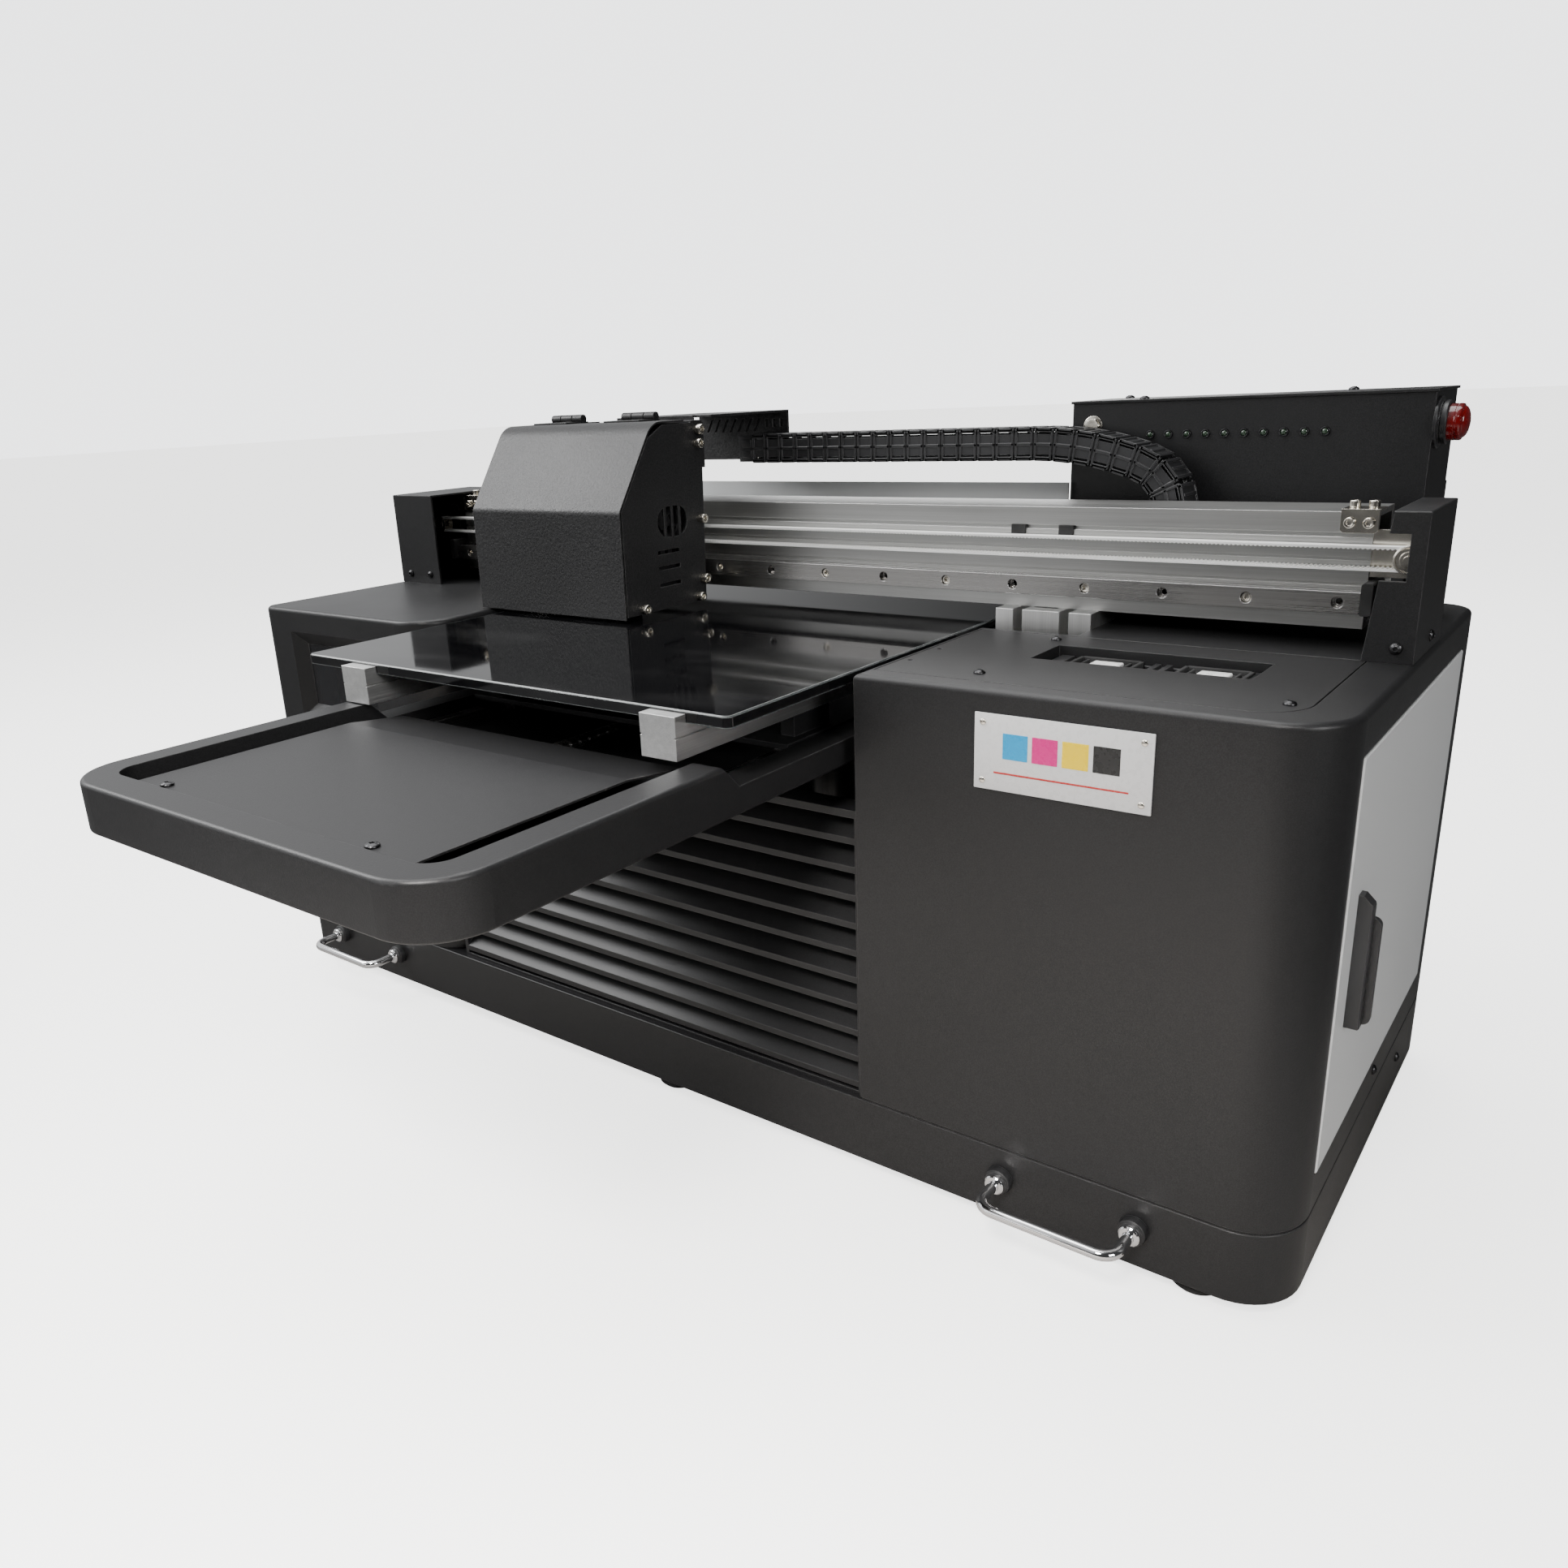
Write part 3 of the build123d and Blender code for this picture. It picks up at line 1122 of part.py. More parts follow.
def make_carriage_plate():
    """Back plate, bottom plate with two head openings, and the belt clamp."""
    plate = block(CARR_X0 + 6, CARR_X1 - 6, PLATE_Y0, PLATE_Y1, 412, 550)
    plate += block(CARR_X0 + 6, CARR_X1 - 6, 60, PLATE_Y0 + 1, 412, 416)
    for x in head_centres():
        plate -= block(x - 20, x + 20, HEAD_Y - 27, HEAD_Y + 27, 412, 416)
    lower = BELT_Z - BELT_R - BELT_T
    clamp = block(CARR_MID - 14, CARR_MID + 14, PLATE_Y1, BELT_Y1 - 1, lower - 4, lower + BELT_T + 4)
    return plate + clamp - block(CARR_MID - 15, CARR_MID + 15, BELT_Y0 - 0.3, BELT_Y1, lower - 0.2,
                                 lower + BELT_T + 0.2)


def make_print_heads():
    heads = []
    for x in head_centres():
        head = block(x - 19.5, x + 19.5, HEAD_Y - 26.5, HEAD_Y + 26.5, HEAD_Z0, 416)
        heads.append(head + block(x - 23, x + 23, HEAD_Y - 29, HEAD_Y + 29, 416, 450))
    return heads


LAMP_XS = (-258, -100)
LAMP_TOP = 456
FAN_HALF = 20


def make_lamp_fan(x):
    """Square fan behind the grille of a side plate, with its hub and blades in one piece."""
    z0 = LAMP_TOP + 4
    mid = z0 + FAN_HALF
    fan = block(x - 6, x + 6, FAN_Y - FAN_HALF, FAN_Y + FAN_HALF, z0, z0 + 2 * FAN_HALF)
    fan -= rod_x(FAN_Y, mid, x - 6, x + 6, FAN_HALF - 1.5)
    fan += rod_x(FAN_Y, mid, x - 5, x + 5, 8)
    for k in range(7):
        blade = block(-4, 4, -1, 1, 7, FAN_HALF - 1)
        fan += Pos(x, FAN_Y, mid) * Rot(360 / 7 * k, 0, 0) * Rot(0, 0, 35) * blade
    return fan


def make_uv_lamps():
    """Finned lamp at each side of the carriage, and its fan."""
    lamps = []
    for x in LAMP_XS:
        lamp = block(x - 9, x + 9, 62, 152, 416, LAMP_TOP)
        for i in range(8):
            y = 68 + 10 * i
            lamp -= block(x - 9, x + 9, y, y + 5, 440, LAMP_TOP)
        lamps += [lamp, make_lamp_fan(x)]
    return lamps


def make_x_guide_blocks():
    y1 = BEAM_Y0 - 3
    top = RAIL_Z0 + RAIL_H
    blocks = []
    for x in (CARR_MID - 31, CARR_MID + 31):
        body = block(x - 28, x + 28, PLATE_Y1, y1, RAIL_Z0 - 9, top + 9)
        blocks.append(body - block(x - 28, x + 28, RAIL_Y0 - RUN, y1, RAIL_Z0 - RUN, top + RUN))
    return blocks


ARM_X0 = -189
ARM_X1 = -76
ARM_Y1 = 298.5
ARM_TOP = 570


def make_chain_arm():
    """Folded bracket from the back plate over the beam, with slanted slits pressed in its rear wall."""
    arm = block(ARM_X0, CARR_X1 - 10, PLATE_Y1, PLATE_Y1 + SHEET, 530, ARM_TOP)
    arm += block(ARM_X0, ARM_X1, SIDE_REAR + 2, ARM_Y1, ARM_TOP - SHEET, ARM_TOP)
    arm += block(ARM_X0, CARR_X1 - 10, PLATE_Y1, SIDE_REAR + 3, ARM_TOP - SHEET, ARM_TOP)
    wall = block(ARM_X0, ARM_X1, ARM_Y1 - SHEET, ARM_Y1, 523, ARM_TOP)
    depth = 1.2
    front = ARM_Y1 - SHEET
    for i in range(7):
        x = ARM_X0 + 10 + 10 * i
        slit = [(x, 550), (x + 3, 550), (x + 10, 563), (x + 7, 563)]
        wall -= xz_prism(slit, front, front + depth)
    for i in range(3):
        x = ARM_X1 - 8 - 9 * i
        wall -= block(x - 2, x + 2, front, front + depth, 554, 562)
    return arm + wall


# ---- write the nodes ----------------------------------------------------------------------------
save("base_plinth", make_plinth())
save("rubber_feet", *make_feet())
save("right_cabinet_shell", make_right_cabinet())
save("left_cabinet_shell", make_left_cabinet())
save("ink_window", make_window())
save("ink_bottles", *make_ink_bottles())
save("capping_bay_panel", make_bay_panel())
save("capping_station", *make_capping_station())
save("louvre_panel", make_louvre_panel())
save("rear_panel", make_rear_panel())
save("right_door", make_door())
save("left_door", mirrored(make_door()), mirrored(make_door_handle()))
save("right_door_handle", make_door_handle())
save("front_handles", *make_front_handles())
save("handle_bosses", *make_handle_bosses())
save("nameplate", make_nameplate())
save("power_inlet", make_power_inlet())
save("panel_screws", *panel_screws())
save("bright_screws", *bright_screws(), *make_rail_screws())

save("gantry_beam", make_beam())
save("beam_posts", *make_posts())
save("x_rail", make_x_rail())
save("beam_brackets", *make_beam_brackets())
save("left_end_cover", make_left_end_cover())
save("right_end_cover", make_right_end_cover())
save("x_motor", make_x_motor())
save("x_drive_pulley", pulley(DRIVE_X))
save("x_idler_pulley", pulley(IDLER_X))
save("x_belt", make_x_belt())
save("rail_stops", *make_rail_stops())
save("chain_trough", make_chain_trough())
save("drag_chain", *make_drag_chain())

save("electronics_box", make_electronics_box())
save("electronics_lid", make_electronics_lid())
save("indicator_lights", *make_indicators())
save("button_collar", make_button_collar())
save("button_cap", make_button_cap())
save("control_board", make_control_board())

save("bed_frame", make_bed_frame())
save("bed_cover_plate", make_cover_plate())
save("cover_screws", *make_cover_screws())
save("y_rails", *make_y_rails())
save("y_guide_blocks", *make_y_guide_blocks())
save("table_saddle", make_table_saddle())
save("table_bars", *make_table_bars())
save("table_glass", make_table_glass())
save("y_ball_screw", make_y_ball_screw())
save("y_motor", make_y_motor())
save("lift_motor", make_lift_motor())
save("lift_screw", make_lift_screw())
save("lift_guide_rods", *make_guide_rods())

save("carriage_shell", make_carriage_shell())
save("carriage_bolts", *make_carriage_bolts())
save("carriage_cover", make_carriage_cover())
save("cover_hinges", *make_cover_hinges())
save("carriage_plate", make_carriage_plate())
save("print_heads", *make_print_heads())
save("uv_lamps", *make_uv_lamps())
save("x_guide_blocks", *make_x_guide_blocks())
save("chain_arm", make_chain_arm())
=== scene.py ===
import json
import math

import bmesh
import bpy
import numpy as np
from mathutils import Matrix, Vector


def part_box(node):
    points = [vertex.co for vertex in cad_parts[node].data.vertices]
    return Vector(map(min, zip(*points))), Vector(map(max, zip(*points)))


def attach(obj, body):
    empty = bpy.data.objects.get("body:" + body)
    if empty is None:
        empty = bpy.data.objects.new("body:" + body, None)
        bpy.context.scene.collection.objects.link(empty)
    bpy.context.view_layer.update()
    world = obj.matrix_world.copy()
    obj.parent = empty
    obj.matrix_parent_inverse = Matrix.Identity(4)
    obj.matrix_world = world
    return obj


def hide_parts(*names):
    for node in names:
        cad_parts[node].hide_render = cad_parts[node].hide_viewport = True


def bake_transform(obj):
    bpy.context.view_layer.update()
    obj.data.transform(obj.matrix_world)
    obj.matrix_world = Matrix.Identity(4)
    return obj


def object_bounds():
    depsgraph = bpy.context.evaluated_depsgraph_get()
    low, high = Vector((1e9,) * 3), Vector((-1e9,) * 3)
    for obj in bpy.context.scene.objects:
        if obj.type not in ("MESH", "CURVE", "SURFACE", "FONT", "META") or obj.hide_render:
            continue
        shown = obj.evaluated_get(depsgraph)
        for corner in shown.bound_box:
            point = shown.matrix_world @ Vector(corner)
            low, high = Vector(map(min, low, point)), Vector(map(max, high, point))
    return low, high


# Looks of the flatbed UV printer around its CAD frame.  Metres, +X along the gantry, +Y to the rear.

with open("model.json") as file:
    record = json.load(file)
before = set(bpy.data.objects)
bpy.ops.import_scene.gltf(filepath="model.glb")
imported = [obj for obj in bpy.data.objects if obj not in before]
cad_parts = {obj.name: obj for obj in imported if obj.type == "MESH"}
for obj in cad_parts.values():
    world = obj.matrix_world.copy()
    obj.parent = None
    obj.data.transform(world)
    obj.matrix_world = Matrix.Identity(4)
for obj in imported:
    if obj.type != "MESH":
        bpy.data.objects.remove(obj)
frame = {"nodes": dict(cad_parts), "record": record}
CAD_LOW, CAD_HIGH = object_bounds()
NODES = frame["nodes"]
SLOT_OF = {part["node"]: part["material_slot"] for part in frame["record"]["subparts"]}


# ---- node materials --------------------------------------
class Graph:
    """A Principled material whose inputs are fed by small procedural patterns in object space."""

    def __init__(self, name):
        self.material = bpy.data.materials.new(name)
        self.material.use_nodes = True
        self.tree = self.material.node_tree
        self.shader = self.tree.nodes["Principled BSDF"]
        self.place = self.add("ShaderNodeTexCoord").outputs["Object"]

    def feed(self, socket, value):
        if isinstance(value, bpy.types.NodeSocket):
            self.tree.links.new(value, socket)
        elif isinstance(value, tuple) and len(value) == 3 and socket.type == "RGBA":
            socket.default_value = (*value, 1)
        else:
            socket.default_value = value

    def add(self, kind, inputs=None, **settings):
        node = self.tree.nodes.new(kind)
        for key, value in settings.items():
            setattr(node, key, value)
        for key, value in (inputs or {}).items():
            self.feed(node.inputs[key], value)
        return node

    def set(self, **inputs):
        """Principled inputs, with _ for a space in their names."""
        for key, value in inputs.items():
            self.feed(self.shader.inputs[key.replace("_", " ")], value)

    def stretched(self, stretch):
        return self.add("ShaderNodeMapping", {"Vector": self.place, "Scale": stretch}).outputs["Vector"]

    def noise(self, scale, detail=2, stretch=(1, 1, 1), rough=0.5):
        inputs = {"Vector": self.stretched(stretch), "Scale": scale, "Detail": detail, "Roughness": rough}
        return self.add("ShaderNodeTexNoise", inputs).outputs["Fac"]

    def cells(self, scale, stretch=(1, 1, 1)):
        inputs = {"Vector": self.stretched(stretch), "Scale": scale}
        return self.add("ShaderNodeTexVoronoi", inputs).outputs["Distance"]

    def remap(self, value, low, high, to_low=0.0, to_high=1.0):
        inputs = {"Value": value, "From Min": low, "From Max": high, "To Min": to_low, "To Max": to_high}
        return self.add("ShaderNodeMapRange", inputs).outputs["Result"]

    def maths(self, operation, a, b=0.5):
        return self.add("ShaderNodeMath", {0: a, 1: b}, operation=operation).outputs[0]

    def mix(self, factor, a, b):
        node = self.add("ShaderNodeMix", data_type="RGBA")
        self.feed(node.inputs[0], factor)
        self.feed(node.inputs[6], a)
        self.feed(node.inputs[7], b)
        return node.outputs[2]

    def rounded_normal(self, radius):
        return self.add("ShaderNodeBevel", {"Radius": radius}, samples=4).outputs["Normal"]

    def edge_mask(self, radius):
        """1 on sharp edges, 0 on flat faces; the callers paint lighter edges with it, part wear and part
        painted highlight.
        """
        true_normal = self.add("ShaderNodeNewGeometry").outputs["Normal"]
        inputs = {0: self.rounded_normal(radius), 1: true_normal}
        dot = self.add("ShaderNodeVectorMath", inputs, operation="DOT_PRODUCT").outputs["Value"]
        return self.remap(dot, 0.995, 0.9)

    def bump(self, height, strength, distance, normal=None):
        inputs = {"Height": height, "Strength": strength, "Distance": distance}
        if normal is not None:
            inputs["Normal"] = normal
        self.set(Normal=self.add("ShaderNodeBump", inputs).outputs["Normal"])


def powder_coat(name, dark, light, grain, relief, rough, worn, edge=0.0009):
    """Powder coat: orange peel, cloudy gloss, rounded edges painted lighter, part wear from rubbing and
    part painted highlight.
    """
    g = Graph(name)
    cloud = g.noise(5, detail=4)
    speck = g.remap(g.noise(grain * 1.7, detail=1), 0.35, 0.7)
    # Edge mask broken up by noise: wear on the edges together with a painted highlight where light would
    # catch them.
    edge_wear_and_highlight = g.maths("MULTIPLY", g.edge_mask(edge), g.remap(g.noise(70, detail=3), 0.35, 0.75, 0.25, 1))
    base = g.mix(g.maths("MULTIPLY", speck, g.remap(cloud, 0.3, 0.7, 0.4, 1)), dark, light)
    # worn is the edge colour, for wear and a painted edge highlight together.
    g.set(Base_Color=g.mix(edge_wear_and_highlight, base, worn))
    gloss = g.maths("ADD", cloud, g.maths("MULTIPLY", speck, 0.3))
    g.set(Roughness=g.remap(gloss, 0.3, 0.95, rough - 0.06, rough + 0.07), Specular_IOR_Level=0.42)
    peel = g.noise(grain, detail=2)
    fine_peel = g.maths("MULTIPLY", g.noise(grain * 3.1, detail=1), 0.35)
    g.bump(g.maths("ADD", peel, fine_peel), 0.55, relief, g.rounded_normal(edge))
    return g.material


def brushed_metal(name, base, rough, stretch, tint, streak=0.35, edge=0.0006):
    """Extruded, ground or brushed metal with its lines along the axis of the smallest stretch."""
    g = Graph(name)
    lines = g.noise(1, detail=3, stretch=stretch)
    broad = g.noise(1, detail=2, stretch=tuple(s * 0.12 for s in stretch))
    smear = g.noise(9, detail=4)
    shade = g.remap(g.maths("ADD", lines, g.maths("MULTIPLY", broad, 0.8)), 0.65, 1.15)
    worn = g.mix(g.remap(smear, 0.35, 0.75, 0, streak), g.mix(shade, tint, base), tint)
    # Edges mixed towards near white by the edge mask: a painted highlight on the rounded edges.
    g.set(Base_Color=g.mix(g.maths("MULTIPLY", g.edge_mask(edge), 0.6), worn, (0.95, 0.95, 0.94)))
    g.set(Metallic=1.0)
    g.set(Roughness=g.remap(g.maths("ADD", smear, lines), 0.6, 1.4, rough - 0.08, rough + 0.12))
    g.bump(lines, 0.25, 0.00004, g.rounded_normal(edge))
    return g.material


def polished_metal(name, base, rough, grain):
    """Plated metal: near mirror, with faint smudges and a slightly uneven plating."""
    g = Graph(name)
    smudge = g.noise(60, detail=4)
    g.set(Base_Color=g.mix(g.remap(smudge, 0.4, 0.8, 0, 0.35), base, tuple(0.7 * c for c in base)))
    g.set(Metallic=1.0)
    g.set(Roughness=g.remap(smudge, 0.35, 0.75, rough, rough + 0.12))
    g.bump(g.noise(grain, detail=2), 0.12, 0.00003, g.rounded_normal(0.0004))
    return g.material


def moulded_plastic(name, base, rough, grain=900, relief=0.00004, lift=1.6):
    """Injection moulded plastic: fine spark-eroded grain, handling shine, and edges painted lighter, part
    dusty bloom and part painted highlight.
    """
    g = Graph(name)
    cloud = g.noise(18, detail=3)
    lighter = tuple(min(1, lift * c + 0.004) for c in base)
    dusty = tuple(min(1, c + 0.1) for c in base)
    # Lighter edges: a dusty bloom together with a painted highlight on the rounded edges; dusty is that
    # edge colour.
    dust_and_edge_highlight = g.maths("MULTIPLY", g.edge_mask(0.0005), 0.45)
    g.set(Base_Color=g.mix(dust_and_edge_highlight, g.mix(g.remap(cloud, 0.35, 0.7), base, lighter), dusty))
    g.set(Roughness=g.remap(cloud, 0.3, 0.7, rough - 0.07, rough + 0.08))
    g.bump(g.noise(grain, detail=2), 0.4, relief, g.rounded_normal(0.0005))
    return g.material


def tinted_glass(name, base, rough, through, edge_tint_and_highlight):
    """Float glass: wiped-over dust film in the gloss, lighter edges that carry the glass's edge tint and a
    painted highlight.
    """
    g = Graph(name)
    film = g.noise(7, detail=5, stretch=(1, 2.2, 1))
    specks = g.remap(g.cells(260), 0.0, 0.09, 1, 0)
    # Lighter edge line: the glass's greenish edge tint together with a painted highlight along the polished
    # edge.
    edge = g.maths("MULTIPLY", g.edge_mask(0.0012), 0.8)
    dusty = g.maths("ADD", g.remap(film, 0.5, 0.8, 0, 0.018), g.maths("MULTIPLY", specks, 0.03))
    g.set(Base_Color=g.mix(edge, g.mix(dusty, base, (0.8, 0.8, 0.8)), edge_tint_and_highlight))
    g.set(Roughness=g.remap(film, 0.35, 0.8, rough, rough + 0.09))
    g.set(Transmission_Weight=through, IOR=1.5)
    g.bump(film, 0.03, 0.0003, g.rounded_normal(0.0008))
    return g.material


def rubber(name, base):
    """Dull rubber with a pale bloom."""
    g = Graph(name)
    bloom = g.noise(35, detail=4)
    g.set(Base_Color=g.mix(g.remap(bloom, 0.4, 0.75), base, tuple(c + 0.03 for c in base)))
    g.set(Roughness=g.remap(bloom, 0.3, 0.7, 0.72, 0.92), Specular_IOR_Level=0.3)
    g.bump(g.noise(600, detail=3), 0.5, 0.00008, g.rounded_normal(0.0008))
    return g.material


def belt_material():
    """White polyurethane over steel cords, a little grey where it has run."""
    g = Graph("belt_polyurethane")
    run = g.noise(1, detail=3, stretch=(14, 420, 420))
    g.set(Base_Color=g.mix(g.remap(run, 0.4, 0.75), (0.95, 0.95, 0.93), (0.78, 0.78, 0.76)))
    g.set(Roughness=g.remap(run, 0.3, 0.7, 0.42, 0.6))
    g.set(Subsurface_Weight=0.1, Subsurface_Radius=(0.002, 0.002, 0.002))
    g.bump(run, 0.3, 0.00008, g.rounded_normal(0.0003))
    return g.material


def pad_material():
    """White absorbent cap pads with the first ink stains."""
    g = Graph("cap_pad_white")
    stain = g.remap(g.noise(90, detail=4), 0.6, 0.8)
    g.set(Base_Color=g.mix(stain, (0.86, 0.86, 0.84), (0.45, 0.46, 0.5)))
    g.set(Roughness=g.remap(g.noise(240), 0.3, 0.7, 0.2, 0.5))
    g.bump(g.noise(1500, detail=2), 0.5, 0.0001, g.rounded_normal(0.0005))
    return g.material


def lamp_red():
    """Clear red cap of the illuminated button."""
    g = Graph("lamp_red_clear")
    depth = g.noise(60, detail=2)
    g.set(Base_Color=g.mix(g.remap(depth, 0.35, 0.7), (0.16, 0.002, 0.003), (0.28, 0.004, 0.005)))
    g.set(Transmission_Weight=0.35, Roughness=g.remap(depth, 0.3, 0.7, 0.08, 0.2), IOR=1.49)
    g.set(Coat_Weight=0.6, Coat_Roughness=0.05)
    g.bump(g.noise(300), 0.1, 0.00005, g.rounded_normal(0.0006))
    return g.material


def circuit_board():
    """Green solder mask with faint tracks and pads."""
    g = Graph("circuit_board_green")
    inputs = {"Vector": g.stretched((1, 0, 1)), "Scale": 90, "Mortar Size": 0.03}
    tracks = g.add("ShaderNodeTexBrick", inputs)
    pads = g.remap(g.cells(420), 0.12, 0.16, 1, 0)
    board = g.mix(g.remap(tracks.outputs["Fac"], 0.0, 1.0), (0.01, 0.13, 0.05), (0.03, 0.26, 0.1))
    g.set(Base_Color=g.mix(g.maths("MULTIPLY", pads, 0.5), board, (0.7, 0.6, 0.35)))
    g.set(Roughness=g.remap(g.noise(120), 0.3, 0.7, 0.25, 0.45))
    g.bump(tracks.outputs["Fac"], 0.3, 0.00005, g.rounded_normal(0.0004))
    return g.material


def ink_tank(name, colour):
    """Cloudy polyethylene tank, tinted by the ink it holds up to its fill line."""
    g = Graph(name)
    height = g.add("ShaderNodeSeparateXYZ", {"Vector": g.place}).outputs["Z"]
    low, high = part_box("ink_bottles")
    line = low.z + (high.z - low.z) * 0.58
    filled = g.remap(height, line + 0.0005, line - 0.0005)
    cloud = g.noise(40, detail=3)
    g.set(Base_Color=g.mix(filled, g.mix(cloud, (0.72, 0.72, 0.7), (0.6, 0.6, 0.58)), colour))
    g.set(Roughness=g.remap(cloud, 0.3, 0.7, 0.28, 0.42), Subsurface_Weight=0.2)
    g.set(Subsurface_Radius=(0.004, 0.004, 0.004))
    g.bump(g.noise(500), 0.2, 0.00005, g.rounded_normal(0.0008))
    return g.material


def enamel(name, colour):
    """Printed enamel field on the nameplate."""
    g = Graph(name)
    thin = g.noise(300, detail=2)
    g.set(Base_Color=g.mix(g.remap(thin, 0.4, 0.75, 0, 0.08), colour, tuple(0.7 * c for c in colour)))
    g.set(Roughness=g.remap(thin, 0.3, 0.7, 0.22, 0.36))
    g.bump(thin, 0.15, 0.00003, g.rounded_normal(0.0002))
    return g.material


LIT_FLOOR = (0.25, -0.55, 0)


def floor_material():
    """Pale sweep for the camera; for other rays a painted pool of light in front of the louvres that fades
    to dark far away.
    """
    g = Graph("studio_floor")
    seen = g.add("ShaderNodeLightPath").outputs["Is Camera Ray"]
    pale = g.mix(g.noise(0.7, detail=3), (0.86, 0.86, 0.85), (0.90, 0.90, 0.89))
    here = g.add("ShaderNodeNewGeometry").outputs["Position"]
    between = g.add("ShaderNodeVectorMath", {0: here, 1: LIT_FLOOR}, operation="DISTANCE")
    away = between.outputs["Value"]
    # Painted pool of light: lighter near LIT_FLOOR, dark further away, seen only in reflections and
    # bounces.
    painted_light_pool = g.mix(g.remap(away, 0.35, 1.2), (0.48, 0.455, 0.43), (0.09, 0.09, 0.09))
    g.set(Base_Color=g.mix(seen, painted_light_pool, pale))
    g.set(Roughness=g.remap(g.noise(12), 0.3, 0.7, 0.6, 0.75), Specular_IOR_Level=0.1)
    g.set(Emission_Color=(1.0, 1.0, 0.99), Emission_Strength=g.maths("MULTIPLY", seen, 2.2))
    return g.material


BLACK_STEEL = (0.009, 0.009, 0.0095)
ALUMINIUM = (0.54, 0.54, 0.53)
DULL_ALUMINIUM = (0.43, 0.43, 0.42)
MATERIALS = {
    # The last colour of each powder coat is its edge colour: wear and a painted edge highlight.
    "black_coat": powder_coat("black_powder_coat", BLACK_STEEL, (0.020, 0.020, 0.021), 900, 0.00012, 0.40,
                              (0.10, 0.10, 0.10)),
    "textured_black": powder_coat("textured_powder_coat", BLACK_STEEL, (0.034, 0.034, 0.035), 420,
                                  0.00060, 0.43, (0.13, 0.13, 0.13)),
    "grey_door": powder_coat("grey_satin_paint", (0.66, 0.67, 0.67), (0.71, 0.72, 0.72), 1100, 0.00005,
                             0.36, (0.90, 0.90, 0.88)),
    "aluminium": brushed_metal("beam_aluminium", ALUMINIUM, 0.36, (4, 1500, 1500), DULL_ALUMINIUM),
    "steel": brushed_metal("ground_steel", (0.46, 0.45, 0.44), 0.26, (6, 1800, 1800),
                           (0.34, 0.33, 0.32)),
    "nickel": polished_metal("nickel_plate", (0.80, 0.76, 0.68), 0.16, 700),
    "chrome": polished_metal("chrome_plate", (0.88, 0.88, 0.89), 0.04, 300),
    "black_plastic": moulded_plastic("black_moulded_plastic", (0.016, 0.016, 0.017), 0.34),
    "rubber": rubber("black_rubber", (0.018, 0.018, 0.018)),
    "smoked_glass": tinted_glass("smoked_pane", (0.10, 0.10, 0.11), 0.02, 0.9, (0.2, 0.22, 0.22)),
    "table_glass": tinted_glass("black_float_glass", (0.003, 0.003, 0.0035), 0.035, 0.0,
                                (0.34, 0.37, 0.37)),
    "belt": belt_material(),
    "white_pad": pad_material(),
    "red_plastic": lamp_red(),
    "pcb": circuit_board(),
    "black_screw": polished_metal("black_oxide", (0.06, 0.06, 0.062), 0.28, 500),
    "brushed_plate": enamel("nameplate_face", (0.62, 0.62, 0.62)),
    "ink_plastic": moulded_plastic("tank_cap_plastic", (0.03, 0.03, 0.032), 0.4),
}
BRIGHT_METAL = (0.86, 0.86, 0.85)
DULL_METAL = (0.70, 0.70, 0.69)
UPRIGHT_METAL = brushed_metal("post_aluminium", BRIGHT_METAL, 0.38, (1500, 1500, 5), DULL_METAL)
DEEP_METAL = brushed_metal("bar_aluminium", BRIGHT_METAL, 0.40, (1800, 8, 1800), DULL_METAL)
# Ground steel with lines along Y for the rails under the table, its colour painted darker than the other
# steel as shade.
SHADED_RAIL_STEEL = brushed_metal("rail_steel_y_shaded", (0.40, 0.40, 0.39), 0.26, (1800, 6, 1800), (0.28, 0.28, 0.27))
OWN_MATERIAL = {
    "beam_posts": UPRIGHT_METAL,
    "lift_guide_rods": UPRIGHT_METAL,
    "table_bars": DEEP_METAL,
    "y_rails": SHADED_RAIL_STEEL,
    "chain_trough": MATERIALS["grey_door"],
}
for node_name, cad_object in NODES.items():
    cad_object.data.materials.clear()
    own = OWN_MATERIAL.get(node_name)
    cad_object.data.materials.append(own or MATERIALS[SLOT_OF[node_name]])


# ---- mesh helpers ----------------------------------------
def finish_mesh(name, bm, body, slot, stands_for=(), sharp_deg=35, material=None):
    """Turn a bmesh into a named piece that rides on a CAD body, in its slot's material or its own."""
    bmesh.ops.remove_doubles(bm, verts=bm.verts, dist=1e-7)
    bmesh.ops.recalc_face_normals(bm, faces=bm.faces)
    mesh = bpy.data.meshes.new(name)
    bm.to_mesh(mesh)
    bm.free()
    mesh.shade_smooth()
    mesh.set_sharp_from_angle(angle=math.radians(sharp_deg))
    mesh.materials.append(material or MATERIALS[slot])
    obj = bpy.data.objects.new(name, mesh)
    bpy.context.scene.collection.objects.link(obj)
    if body is not None:
        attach(obj, body)
    if stands_for:
        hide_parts(*stands_for)
    return obj


def add_box(bm, low, high, round_by=0.0, segments=2, shape=None):
    """Box with rounded edges; shape, if given, maps each vertex to its final place."""
    low, high = Vector(low), Vector(high)
    verts = bmesh.ops.create_cube(bm, size=1)["verts"]
    for v in verts:
        v.co = Vector(((low[k] + high[k]) / 2 + v.co[k] * (high[k] - low[k]) for k in range(3)))
    if round_by:
        edges = list({e for v in verts for e in v.link_edges})
        made = bmesh.ops.bevel(bm, geom=edges, offset=round_by, segments=segments, profile=0.5,
                               affect="EDGES")
        verts = made["verts"]
    if shape:
        for v in verts:
            v.co = shape(v.co)
    return verts


